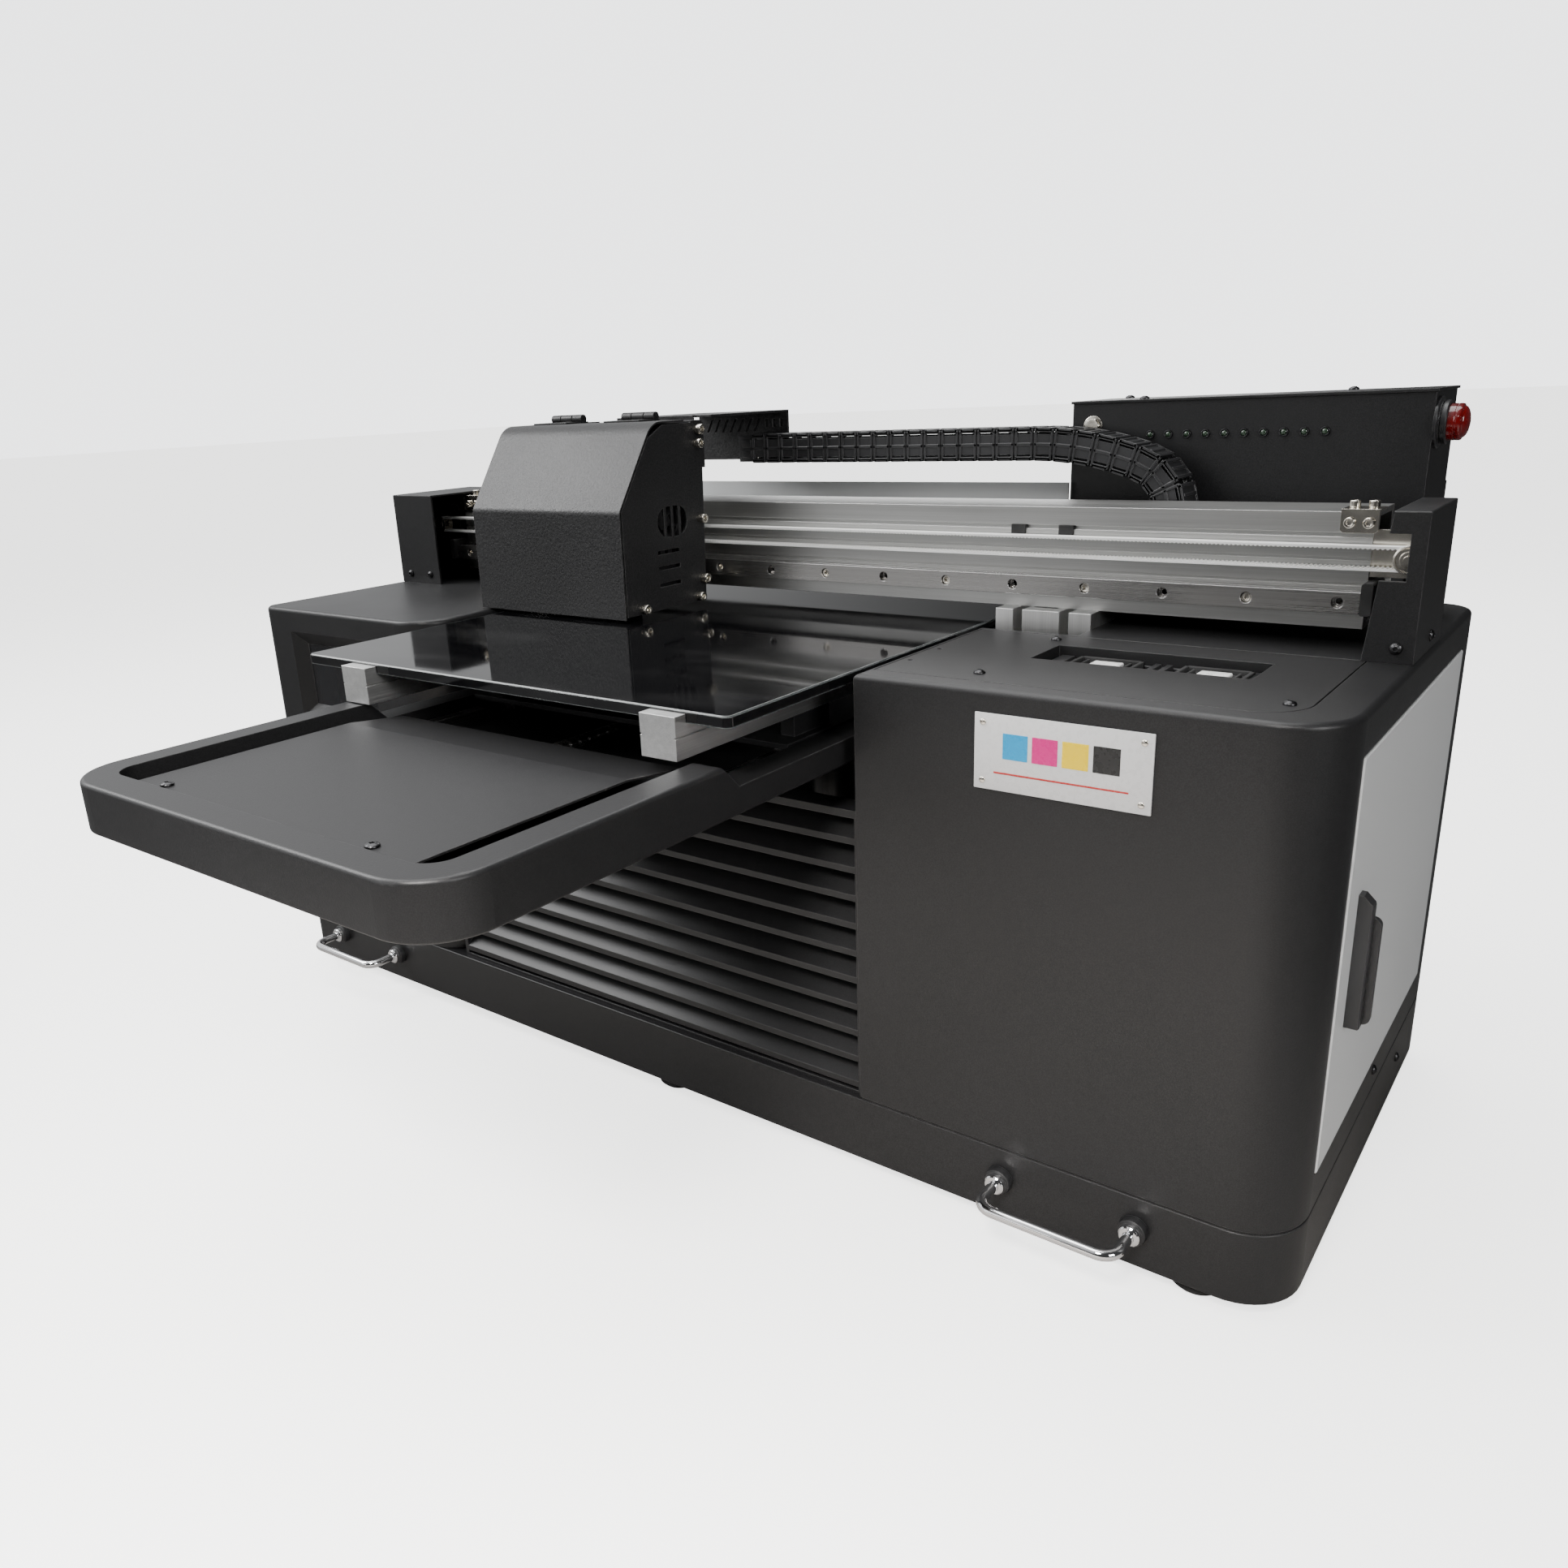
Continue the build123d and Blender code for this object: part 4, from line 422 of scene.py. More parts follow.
def axis_place(origin, direction):
    """Matrix whose local Z points along direction."""
    return Matrix.Translation(origin) @ Vector(direction).to_track_quat("Z", "Y").to_matrix().to_4x4()


def ring_radius(radius, angle, sides):
    """Distance to the rim of a circle (sides 0) or of a polygon with a corner at angle 0."""
    if not sides:
        return radius
    half = math.pi / sides
    return radius * math.cos(half) / math.cos(angle % (2 * half) - half)


def dome_arc(r, low, high, degrees):
    """Profile points of an elliptic dome of radius r that rises from height low to high."""
    angles = [math.radians(d) for d in degrees]
    return [(r * math.cos(a), low + (high - low) * math.sin(a)) for a in angles]


def add_lathe(bm, profile, place, segments=24):
    """Turn a profile of (radius, height) or (radius, height, sides) about the local Z of place."""
    previous = None
    for entry in profile:
        radius, height = entry[0], entry[1]
        sides = entry[2] if len(entry) > 2 else 0
        if radius == 0:
            ring = [bm.verts.new(place @ Vector((0, 0, height)))]
        else:
            ring = []
            for k in range(segments):
                angle = 2 * math.pi * k / segments
                r = ring_radius(radius, angle, sides)
                point = Vector((r * math.cos(angle), r * math.sin(angle), height))
                ring.append(bm.verts.new(place @ point))
        if previous is not None:
            for k in range(segments):
                corners = [previous[k % len(previous)], previous[(k + 1) % len(previous)],
                           ring[(k + 1) % len(ring)], ring[k % len(ring)]]
                corners = list(dict.fromkeys(corners))
                if len(corners) > 2:
                    bm.faces.new(corners)
        previous = ring


def add_tube(bm, points, radius, sides=20):
    """Round tube along a list of points, with flat ends."""
    rings = []
    for i, point in enumerate(points):
        ahead = points[min(i + 1, len(points) - 1)] - points[max(i - 1, 0)]
        side = ahead.cross(Vector((0, 0, 1))).normalized()
        up = side.cross(ahead).normalized()
        ring = []
        for k in range(sides):
            angle = 2 * math.pi * k / sides
            ring.append(bm.verts.new(point + radius * (math.cos(angle) * side + math.sin(angle) * up)))
        rings.append(ring)
    for a, b in zip(rings, rings[1:]):
        for k in range(sides):
            bm.faces.new((a[k], a[(k + 1) % sides], b[(k + 1) % sides], b[k]))
    bm.faces.new(rings[0])
    bm.faces.new(rings[-1])


def islands(node):
    """Boxes (low, high) of the separate solids in one CAD node, from left to right."""
    mesh = NODES[node].data
    co = np.array([v.co for v in mesh.vertices], float)
    keys, which = np.unique(np.round(co, 6), axis=0, return_inverse=True)
    which = which.ravel()
    owner = list(range(len(keys)))

    def root(i):
        while owner[i] != i:
            owner[i] = owner[owner[i]]
            i = owner[i]
        return i

    for polygon in mesh.polygons:
        first = root(which[polygon.vertices[0]])
        for v in polygon.vertices[1:]:
            owner[root(which[v])] = first
    groups = {}
    for i, point in enumerate(keys):
        groups.setdefault(root(i), []).append(point)
    boxes = [(Vector(np.min(g, axis=0)), Vector(np.max(g, axis=0))) for g in groups.values()]
    return sorted(boxes, key=lambda box: (round(box[0].x, 4), round(box[0].z, 4)))


# ---- fasteners -------------------------------------------
FLUSH_HEAD_H = 0.003        # boxes lower than this hold a head without a shank
SUNK_SHANK = 0.0018
RIVET_MAX_H = 0.0015        # lower boxes hold a rivet
CAP_SCREW_MAX_R = 0.005     # wider ones hold the hexagon screw
CAP_SCREW_HEAD_H = 0.0045


def head_place(low, high, direction, height):
    """Frame at the foot of a head of this height that ends where the box ends along direction."""
    centre = (low + high) / 2
    k = max(range(3), key=lambda i: abs(direction[i]))
    top = high[k] if direction[k] > 0 else low[k]
    centre[k] = top - direction[k] * height
    return axis_place(centre, direction)


def socket_head(bm, place, r, h):
    """Cap screw head: undercut foot, broken edge and a hexagon socket."""
    c = 0.12 * r
    head = [(0, 0), (r * 0.94, 0), (r * 0.94, h * 0.12), (r, h * 0.17), (r, h - c), (r - c, h)]
    socket = [(r * 0.62, h), (r * 0.56, h - 0.3 * c, 6), (r * 0.56, h * 0.45, 6), (0, h * 0.4)]
    add_lathe(bm, head + socket, place)


def sleeved_bolt(bm, place, r, h):
    """Bolt with a spacer sleeve below its head, as on the carriage sides."""
    sleeve = [(0, 0), (r * 0.82, 0), (r * 0.82, h * 0.34), (r * 0.7, h * 0.36), (r * 0.7, h * 0.42)]
    head = [(r, h * 0.45), (r, h * 0.92), (r * 0.9, h), (r * 0.6, h)]
    socket = [(r * 0.55, h * 0.97, 6), (r * 0.55, h * 0.6, 6), (0, h * 0.56)]
    add_lathe(bm, sleeve + head + socket, place)


def button_head(bm, place, r, h):
    """Domed button head with a hexagon socket."""
    dome = dome_arc(r, 0.2 * h, h, (0, 20, 40, 58))
    socket = [(r * 0.42, h, 0), (r * 0.38, h * 0.96, 6), (r * 0.38, h * 0.45, 6), (0, h * 0.4)]
    add_lathe(bm, [(0, 0), (r, 0)] + dome + socket, place)


def rivet_head(bm, place, r, h):
    """Plain domed rivet head."""
    dome = dome_arc(r, 0.1 * h, h, range(0, 81, 16))
    add_lathe(bm, [(0, 0), (r, 0)] + dome + [(0, h)], place)


def hexagon_head(bm, place, r, h):
    """Hexagon screw on its washer."""
    washer = [(0, 0), (r * 1.25, 0), (r * 1.25, h * 0.22), (r * 1.2, h * 0.27)]
    head = [(r * 0.8, h * 0.28, 6), (r, h * 0.34, 6), (r, h * 0.86, 6), (r * 0.86, h, 0), (r * 0.5, h)]
    add_lathe(bm, washer + head + [(0, h * 0.94)], place)


def facing(low, high, middle_x):
    """Outward direction of a screw from the shape of its box: its length differs from its width."""
    size = high - low
    spread = [abs(size[(k + 1) % 3] - size[(k + 2) % 3]) for k in range(3)]
    k = min(range(3), key=lambda i: spread[i])
    if k == 0:
        return Vector((1 if (low.x + high.x) / 2 > middle_x else -1, 0, 0))
    return Vector((0, -1, 0)) if k == 1 else Vector((0, 0, 1))


def build_fasteners():
    """Screws and bolts that share one shape in each CAD node."""
    groups = (
        ("panel_screw_heads", "panel_screws", "machine", "black_screw", button_head),
        ("tray_screw_heads", "cover_screws", "bed", "black_screw", button_head),
        ("carriage_sleeved_bolts", "carriage_bolts", "carriage", "nickel", sleeved_bolt),
    )
    for name, node, body, slot, maker in groups:
        low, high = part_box(node)
        middle = (low.x + high.x) / 2 if node == "carriage_bolts" else 0.0
        bm = bmesh.new()
        for a, b in islands(node):
            out = facing(a, b, middle)
            k = max(range(3), key=lambda i: abs(out[i]))
            r = ((b - a)[(k + 1) % 3]) / 2
            full = (b - a)[k]
            height = full if full < FLUSH_HEAD_H else full - SUNK_SHANK
            maker(bm, head_place(a, b, out, height), r, height)
        finish_mesh(name, bm, body, slot, (node,))


def build_bright_screws():
    """Rail screws, bracket screws, rivets and the large hexagon screw, told apart by their size."""
    bm = bmesh.new()
    for low, high in islands("bright_screws"):
        out = facing(low, high, 0)
        k = max(range(3), key=lambda i: abs(out[i]))
        size = high - low
        length = size[k]
        r = max(size[(k + 1) % 3], size[(k + 2) % 3]) / 2
        if length < RIVET_MAX_H:
            rivet_head(bm, head_place(low, high, out, length), r, length)
        elif r > CAP_SCREW_MAX_R:
            hexagon_head(bm, head_place(low, high, Vector((0, -1, 0)), length), r, length)
        else:
            head = CAP_SCREW_HEAD_H if length > 0.01 else length - 0.001
            socket_head(bm, head_place(low, high, out, head), r, head)
    finish_mesh("bright_screw_heads", bm, "machine", "nickel", ("bright_screws",))


# ---- drag chain ------------------------------------------
LINK_PITCH = 0.0175
CHAIN_HALF = 0.0135     # half the height of a link
CHAIN_OVERLAP = 0.020   # the first link starts this far inside the end of the arm
SMALL_BEND_R = 0.040
FIRST_DROP = math.radians(20)
FAR = 1000.0            # half-width of the X range handed to stretch for the bend


def chain_path():
    """Centre line of the chain as a function of arc length, from its CAD box and bend radii."""
    low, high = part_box("drag_chain")
    small = SMALL_BEND_R
    drop = FIRST_DROP
    top = high.z - CHAIN_HALF
    bottom = low.z + CHAIN_HALF
    big = small + (top - bottom - 2 * small) / (1 - math.cos(drop))
    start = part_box("chain_arm")[1].x - CHAIN_OVERLAP
    reach = high.x - CHAIN_HALF - small
    drop_x = reach - (big - small) * math.sin(drop)
    bend_z = bottom + small
    upper = drop_x - start
    arc_a = big * drop
    arc_b = small * (math.pi - drop)

    def at(s):
        """(x, z, heading) with the heading in radians, falling from 0 to -pi."""
        if s < upper:
            return start + s, top, 0.0
        s -= upper
        if s < arc_a:
            a = s / big
            return drop_x + big * math.sin(a), top - big * (1 - math.cos(a)), -a
        s -= arc_a
        if s < arc_b:
            a = drop + s / small
            return reach + small * math.sin(a), bend_z + small * math.cos(a), -a
        return reach - (s - arc_b), bottom, -math.pi

    total = upper + arc_a + arc_b + reach - low.x
    return at, upper, arc_a + arc_b, total, start, reach


def link_boxes(length, y0, y1, h):
    """Boxes (low, high) of one link in (along, across, height): side plates, bars, raised frames."""
    w, rib, raise_by = 0.0028, 0.0020, 0.0011
    a, b = -length / 2 + 0.0007, length / 2 - 0.0007
    boxes = []
    for side, y in ((-1, y0), (1, y1)):
        inner = y - side * w
        outer = y - side * raise_by
        low, high = sorted((inner, outer))
        boxes.append(((a - 0.0030, low, -h * 0.62), (b - 0.0006, high, h * 0.62)))
        low, high = sorted((inner - side * 0.0022, inner + side * 0.0002))
        boxes.append(((b - 0.0040, low, -h * 0.5), (b + 0.0034, high, h * 0.5)))
        low, high = sorted((inner, y))
        for v in (-h * 0.82, 0.0, h * 0.82):
            boxes.append(((a, low, v - rib * 0.6), (b, high, v + rib * 0.6)))
        for u in (a, b - rib):
            boxes.append(((u, low, -h * 0.82), (u + rib, high, h * 0.82)))
    for sign in (-1, 1):
        low, high = sorted((sign * (h - 0.0035), sign * (h - raise_by)))
        boxes.append(((a + 0.0015, y0 + 0.001, low), (b - 0.0015, y1 - 0.001, high)))
        low, high = sorted((sign * (h - 0.0030), sign * h))
        for y in (y0, y1 - rib):
            boxes.append(((a + 0.0010, y, low), (b - 0.0010, y + rib, high)))
        for u in (a + 0.0010, b - 0.0010 - rib):
            boxes.append(((u, y0, low), (u + rib, y1, high)))
        boxes.append(((-0.0011, y0 + 0.003, low), (0.0011, y1 - 0.003, high - 0.0004)))
    return boxes


def stretch(piece, first, second, x0, x1):
    """Bake a piece's transform into its mesh."""
    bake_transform(piece)


def build_chain():
    """Links laid along the path in three pieces: the upper run, the bend and the lower run."""
    at, upper, bend, total, start, reach = chain_path()
    low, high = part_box("drag_chain")
    count = round(total / LINK_PITCH)
    pitch = total / count
    sections = {"chain_upper_run": bmesh.new(), "chain_bend": bmesh.new(), "chain_lower_run": bmesh.new()}
    for i in range(count):
        middle = (i + 0.5) * pitch
        name = "chain_upper_run" if middle < upper else "chain_bend"
        if middle > upper + bend:
            name = "chain_lower_run"

        def lay(p, middle=middle):
            x, z, heading = at(min(max(middle + p.x, 0), total))
            return Vector((x + p.z * math.sin(-heading), p.y, z + p.z * math.cos(heading)))

        for box_low, box_high in link_boxes(pitch, low.y, high.y, CHAIN_HALF):
            add_box(sections[name], box_low, box_high, 0.0003, 1, lay)
    pieces = {}
    for name, bm in sections.items():
        stands_for = ("drag_chain",) if name == "chain_bend" else ()
        pieces[name] = finish_mesh(name, bm, None, "black_plastic", stands_for)
    upper_end = start + 2 * upper
    lower_end = low.x + 2 * (reach - low.x)
    stretch(pieces["chain_upper_run"], "carriage", "machine", start, upper_end)
    stretch(pieces["chain_bend"], "carriage", "machine", reach - FAR, reach + FAR)
    stretch(pieces["chain_lower_run"], "machine", "carriage", low.x, lower_end)


def build_chain_mount():
    """Moulded end bracket that holds the first link on the carriage arm."""
    low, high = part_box("drag_chain")
    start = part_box("chain_arm")[1].x - CHAIN_OVERLAP
    z = high.z - CHAIN_HALF
    bm = bmesh.new()
    y0 = low.y
    y1 = high.y
    x0 = start - 0.0150
    x1 = start + 0.0040
    for y in (y0 + 0.0005, y1 - 0.0035):
        add_box(bm, (x0, y, z - 0.0125), (x1, y + 0.003, z + 0.0125), 0.0006)
        add_box(bm, (x0 + 0.004, y - 0.0008, z - 0.0085), (x1 - 0.004, y + 0.0038, z - 0.0015), 0.0005)
        add_box(bm, (x0 + 0.004, y - 0.0008, z + 0.0015), (x1 - 0.004, y + 0.0038, z + 0.0085), 0.0005)
    add_box(bm, (x0, y0 + 0.001, z - 0.0125), (x1 - 0.002, y1 - 0.001, z - 0.0100), 0.0006)
    finish_mesh("chain_end_bracket", bm, "carriage", "black_plastic")
    screws = bmesh.new()
    for x in (x0 + 0.004, x1 - 0.006):
        button_head(screws, axis_place(Vector((x, (y0 + y1) / 2, z - 0.0100)), (0, 0, 1)), 0.0024, 0.0018)
    finish_mesh("chain_bracket_screws", screws, "carriage", "nickel")


# ---- belt and pulleys ------------------------------------
BELT_PITCH = 0.003
BELT_THICK = 0.0015
TOOTH_H = 0.0007
TOOTH_PROFILE = ((0.0, 0.0), (0.2, 0.0), (0.34, TOOTH_H), (0.66, TOOTH_H), (0.8, 0.0))
PULLEY_TEETH = 14


def build_belt():
    """Toothed belt: a smooth back and trapezoid teeth all the way round the inside."""
    low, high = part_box("x_belt")
    back = (high.z - low.z) / 2
    z = (high.z + low.z) / 2
    left = low.x + back
    right = high.x - back
    root_r = back - BELT_THICK
    straight = right - left
    total = 2 * straight + 2 * math.pi * root_r
    teeth = round(total / BELT_PITCH)
    pitch = total / teeth

    def frame_at(s):
        s %= total
        if s < straight:
            return Vector((left + s, 0, z)), Vector((0, 0, 1))
        s -= straight
        if s < math.pi * root_r:
            a = s / root_r
            return Vector((right, 0, z)), Vector((math.sin(a), 0, math.cos(a)))
        s -= math.pi * root_r
        if s < straight:
            return Vector((right - s, 0, z)), Vector((0, 0, -1))
        a = (s - straight) / root_r
        return Vector((left, 0, z)), Vector((-math.sin(a), 0, -math.cos(a)))

    bm = bmesh.new()
    rings = []
    for i in range(teeth):
        for share, depth in TOOTH_PROFILE:
            centre, out = frame_at((i + share) * pitch)
            inner = centre + out * (root_r - depth)
            outer = centre + out * back
            rings.append([bm.verts.new((p.x, y, p.z)) for p, y in
                          ((inner, low.y), (inner, high.y), (outer, high.y), (outer, low.y))])
    for a, b in zip(rings, rings[1:] + rings[:1]):
        for k in range(4):
            bm.faces.new((a[k], a[(k + 1) % 4], b[(k + 1) % 4], b[k]))
    finish_mesh("toothed_belt", bm, "machine", "belt", ("x_belt",), 25)


def build_pulley(name, node, body):
    """Toothed pulley with flanges, a raised hub ring and its bore."""
    low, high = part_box(node)
    flange = (high.x - low.x) / 2
    width = high.y - low.y
    place = head_place(low, high, (0, 1, 0), width)
    bore = 0.00305
    groove = flange - 0.0035
    t = 0.0014
    near_face = [(bore, 0.0002), (bore + 0.0022, 0.0002), (bore + 0.0026, 0.0007),
                 (flange - 0.0018, 0.0007), (flange - 0.0012, 0), (flange, 0.0003), (flange, t)]
    far_face = [(flange, width - t), (flange, width - 0.0003), (flange - 0.001, width), (bore, width),
                (bore, 0.0002)]
    bm = bmesh.new()
    add_lathe(bm, near_face + [(groove, t), (groove, width - t)] + far_face, place, 48)
    for k in range(PULLEY_TEETH):
        turn = Matrix.Rotation(2 * math.pi * k / PULLEY_TEETH, 4, "Z")
        add_box(bm, (groove - 0.0004, -0.0006, t), (groove + 0.0008, 0.0006, width - t), 0.0002, 1,
                lambda p, turn=turn: place @ turn @ p)
    finish_mesh(name, bm, body, "aluminium", (node,), material=MATERIALS["nickel"])


# ---- screws that drive the axes --------------------------
LIFT_SCREW_R = 0.008        # its CAD box is as wide as the coupling at its foot


def build_threaded(name, node, body, axis, lead, depth, plain_low, plain_high):
    """Rod with one helical groove; both ends stay plain."""
    low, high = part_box(node)
    k = "XYZ".index(axis)
    a, b = low[k], high[k]
    centre = (low + high) / 2
    centre[k] = 0
    r = (high - low)[(k + 1) % 3] / 2
    if node == "lift_screw":
        r = LIFT_SCREW_R
    direction = Vector([1.0 if i == k else 0.0 for i in range(3)])
    place = axis_place(centre, direction)
    sides = 20
    per_turn = 10
    cut = b - a - plain_low - plain_high
    steps = int(cut / lead * per_turn)
    bm = bmesh.new()
    rings = []
    stations = [a] + [a + plain_low + cut * i / steps for i in range(steps + 1)] + [b]
    for s in stations:
        ring = []
        ends = s <= a + plain_low or s >= b - plain_high
        for j in range(sides):
            angle = 2 * math.pi * j / sides
            phase = ((s / lead) - angle / (2 * math.pi)) % 1.0
            groove = 0 if ends else depth * max(0.0, math.cos(2 * math.pi * phase)) ** 0.7
            here = r - groove
            ring.append(bm.verts.new(place @ Vector((here * math.cos(angle), here * math.sin(angle), s))))
        rings.append(ring)
    for p, q in zip(rings, rings[1:]):
        for j in range(sides):
            bm.faces.new((p[j], p[(j + 1) % sides], q[(j + 1) % sides], q[j]))
    bm.faces.new(rings[0])
    bm.faces.new(rings[-1])
    if node == "lift_screw":
        coupling = axis_place(Vector((centre.x, centre.y, low.z)), (0, 0, 1))
        outer = (high.x - low.x) / 2
        rim = outer - 0.001
        lower_half = [(0.009, 0), (rim, 0), (outer, 0.001), (outer, 0.011), (rim, 0.012)]
        upper_half = [(rim, 0.015), (outer, 0.016), (outer, 0.026), (rim, 0.027), (0.0085, 0.027)]
        add_lathe(bm, lower_half + upper_half, coupling, 36)
    finish_mesh(name, bm, body, "steel", (node,), 50)


# ---- lamps, handles, plate -------------------------------
LENS_TOP = 0.0018
CAP_DOME_H = 0.0042


def build_indicators():
    """Row of lamps: blackened metal bezels and small domed lenses."""
    bezels = bmesh.new()
    lenses = bmesh.new()
    for low, high in islands("indicator_lights"):
        r = (high.x - low.x) / 2
        place = head_place(low, high, (0, -1, 0), 0.001)
        bezel = [(r * 0.6, 0), (r, 0), (r, 0.0008), (r * 0.92, 0.0014), (r * 0.74, 0.0014),
                 (r * 0.66, 0.0008), (r * 0.64, 0.0001)]
        add_lathe(bezels, bezel, place, 32)
        stem = [(0, -0.0035), (r * 0.62, -0.0035), (r * 0.64, 0)]
        dome = dome_arc(r * 0.66, 0.0004, LENS_TOP, range(0, 81, 20))
        add_lathe(lenses, stem + dome + [(0, LENS_TOP)], place, 24)
    finish_mesh("indicator_bezels", bezels, "machine", "black_screw", ("indicator_lights",))
    g = Graph("indicator_lens")
    g.set(Base_Color=g.mix(g.noise(200), (0.03, 0.06, 0.035), (0.05, 0.09, 0.05)), Coat_Weight=0.8)
    g.set(Roughness=g.remap(g.noise(400), 0.3, 0.7, 0.08, 0.2), Transmission_Weight=0.3)
    finish_mesh("indicator_lenses", lenses, "machine", "black_plastic", material=g.material)


def build_button():
    """Domed red cap with a raised rim, and its stepped black collar."""
    low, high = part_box("button_cap")
    r = (high.z - low.z) / 2
    length = high.x - low.x
    cap = bmesh.new()
    foot = [(0, 0), (r, 0), (r, length * 0.42)]
    ring = [(r * 0.985, length * 0.44), (r * 0.985, length * 0.49), (r, length * 0.51)]
    shoulder = [(r, length - 0.0058), (r * 0.97, length - 0.0046)]
    dome = dome_arc(r * 0.86, length - CAP_DOME_H, length, range(0, 90, 10))
    place = head_place(low, high, (1, 0, 0), length)
    add_lathe(cap, foot + ring + shoulder + dome + [(0, length)], place, 48)
    finish_mesh("lamp_cap", cap, "push_button", "red_plastic", ("button_cap",), 30)
    low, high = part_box("button_collar")
    outer = (high.z - low.z) / 2
    length = high.x - low.x
    collar = bmesh.new()
    flange = [(0, 0), (outer + 0.0030, 0), (outer + 0.0030, 0.0018), (outer + 0.0024, 0.0024),
              (outer, 0.0026)]
    ring = [(outer, length * 0.42), (outer - 0.0010, length * 0.45), (outer - 0.0010, length * 0.52),
            (outer, length * 0.55)]
    mouth = [(outer, length - 0.0008), (outer - 0.0008, length), (r + 0.0001, length),
             (r + 0.0001, 0.0012), (0, 0.0011)]
    place = head_place(low, high, (1, 0, 0), length)
    add_lathe(collar, flange + ring + mouth, place, 48)
    finish_mesh("lamp_collar", collar, "machine", "black_plastic", ("button_collar",), 30)


def build_front_handles():
    """Bent chrome bars with a chrome ring at each foot, on turned black bosses."""
    bars = bmesh.new()
    bosses = bmesh.new()
    bend = 0.012
    for low, high in islands("front_handles"):
        r = (high.z - low.z) / 2
        x0, x1, y0, y1 = low.x + r, high.x - r, high.y, low.y + r
        z = (low.z + high.z) / 2
        points = [Vector((x0, y0, z)), Vector((x0, (y0 + y1 + bend) / 2, z))]
        for cx, start in ((x0 + bend, math.pi), (x1 - bend, 1.5 * math.pi)):
            for k in range(9):
                a = start + k * math.pi / 16
                points.append(Vector((cx + bend * math.cos(a), y1 + bend + bend * math.sin(a), z)))
        points += [Vector((x1, (y0 + y1 + bend) / 2, z)), Vector((x1, y0, z))]
        add_tube(bars, points, r, 24)
        for x in (x0, x1):
            place = axis_place(Vector((x, y0 + 0.0005, z)), (0, -1, 0))
            ring = [(r * 0.9, 0), (r * 1.75, 0), (r * 1.85, 0.0006), (r * 1.85, 0.0036),
                    (r * 1.6, 0.0046), (r * 1.02, 0.0050)]
            add_lathe(bars, ring, place, 36)
    for low, high in islands("handle_bosses"):
        r = (high.x - low.x) / 2
        h = high.y - low.y
        boss = [(0, 0), (r, 0), (r, h * 0.62), (r * 0.94, h * 0.86), (r * 0.8, h), (0, h)]
        add_lathe(bosses, boss, head_place(low, high, (0, -1, 0), h), 40)
    finish_mesh("chrome_handles", bars, "machine", "chrome", ("front_handles",), 30)
    finish_mesh("turned_bosses", bosses, "machine", "black_coat", ("handle_bosses",), 30)


PRINT_PROUD = 0.00025
PRINT_SUNK = 0.0002
TILE_HALF = 0.0085
TILE_STEP = 2.35 * TILE_HALF
LINE_HALF_H = 0.0006


def add_tile(bm, x, z, half, front):
    """Slightly raised square with rounded corners on a face that looks along -Y."""
    add_box(bm, (x - half, front - PRINT_PROUD, z - half), (x + half, front + PRINT_SUNK, z + half),
            0.0001, 1)


def build_nameplate():
    """Pale plate with a generic strip of four ink colours and a line below it."""
    low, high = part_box("nameplate")
    bm = bmesh.new()
    add_box(bm, low, high, 0.0005, 2)
    finish_mesh("plate_blank", bm, "machine", "brushed_plate", ("nameplate",))
    middle = (low.x + high.x) / 2
    upper = low.z + (high.z - low.z) * 0.60
    inks = (("cyan", (0.0, 0.30, 0.60)), ("magenta", (0.62, 0.01, 0.20)), ("yellow", (0.85, 0.60, 0.0)),
            ("black", (0.02, 0.02, 0.02)))
    for k, (name, colour) in enumerate(inks):
        tile = bmesh.new()
        add_tile(tile, middle + (k - 1.5) * TILE_STEP, upper, TILE_HALF, low.y)
        finish_mesh(f"plate_tile_{name}", tile, "machine", "brushed_plate",
                    material=enamel(f"enamel_{name}", colour))
    line = bmesh.new()
    wide = (high.x - low.x) * 0.38
    z = low.z + (high.z - low.z) * 0.24
    add_box(line, (middle - wide, low.y - PRINT_PROUD, z - LINE_HALF_H),
            (middle + wide, low.y + PRINT_SUNK, z + LINE_HALF_H), 0.0001, 1)
    finish_mesh("plate_line", line, "machine", "brushed_plate",
                material=enamel("enamel_line", (0.45, 0.03, 0.03)))


# ---- inside ----------------------------------------------
CAP_RIBS = 14
PORT_ROWS = 4
PORT_STEP = 0.0077
PORT_R = 0.0022


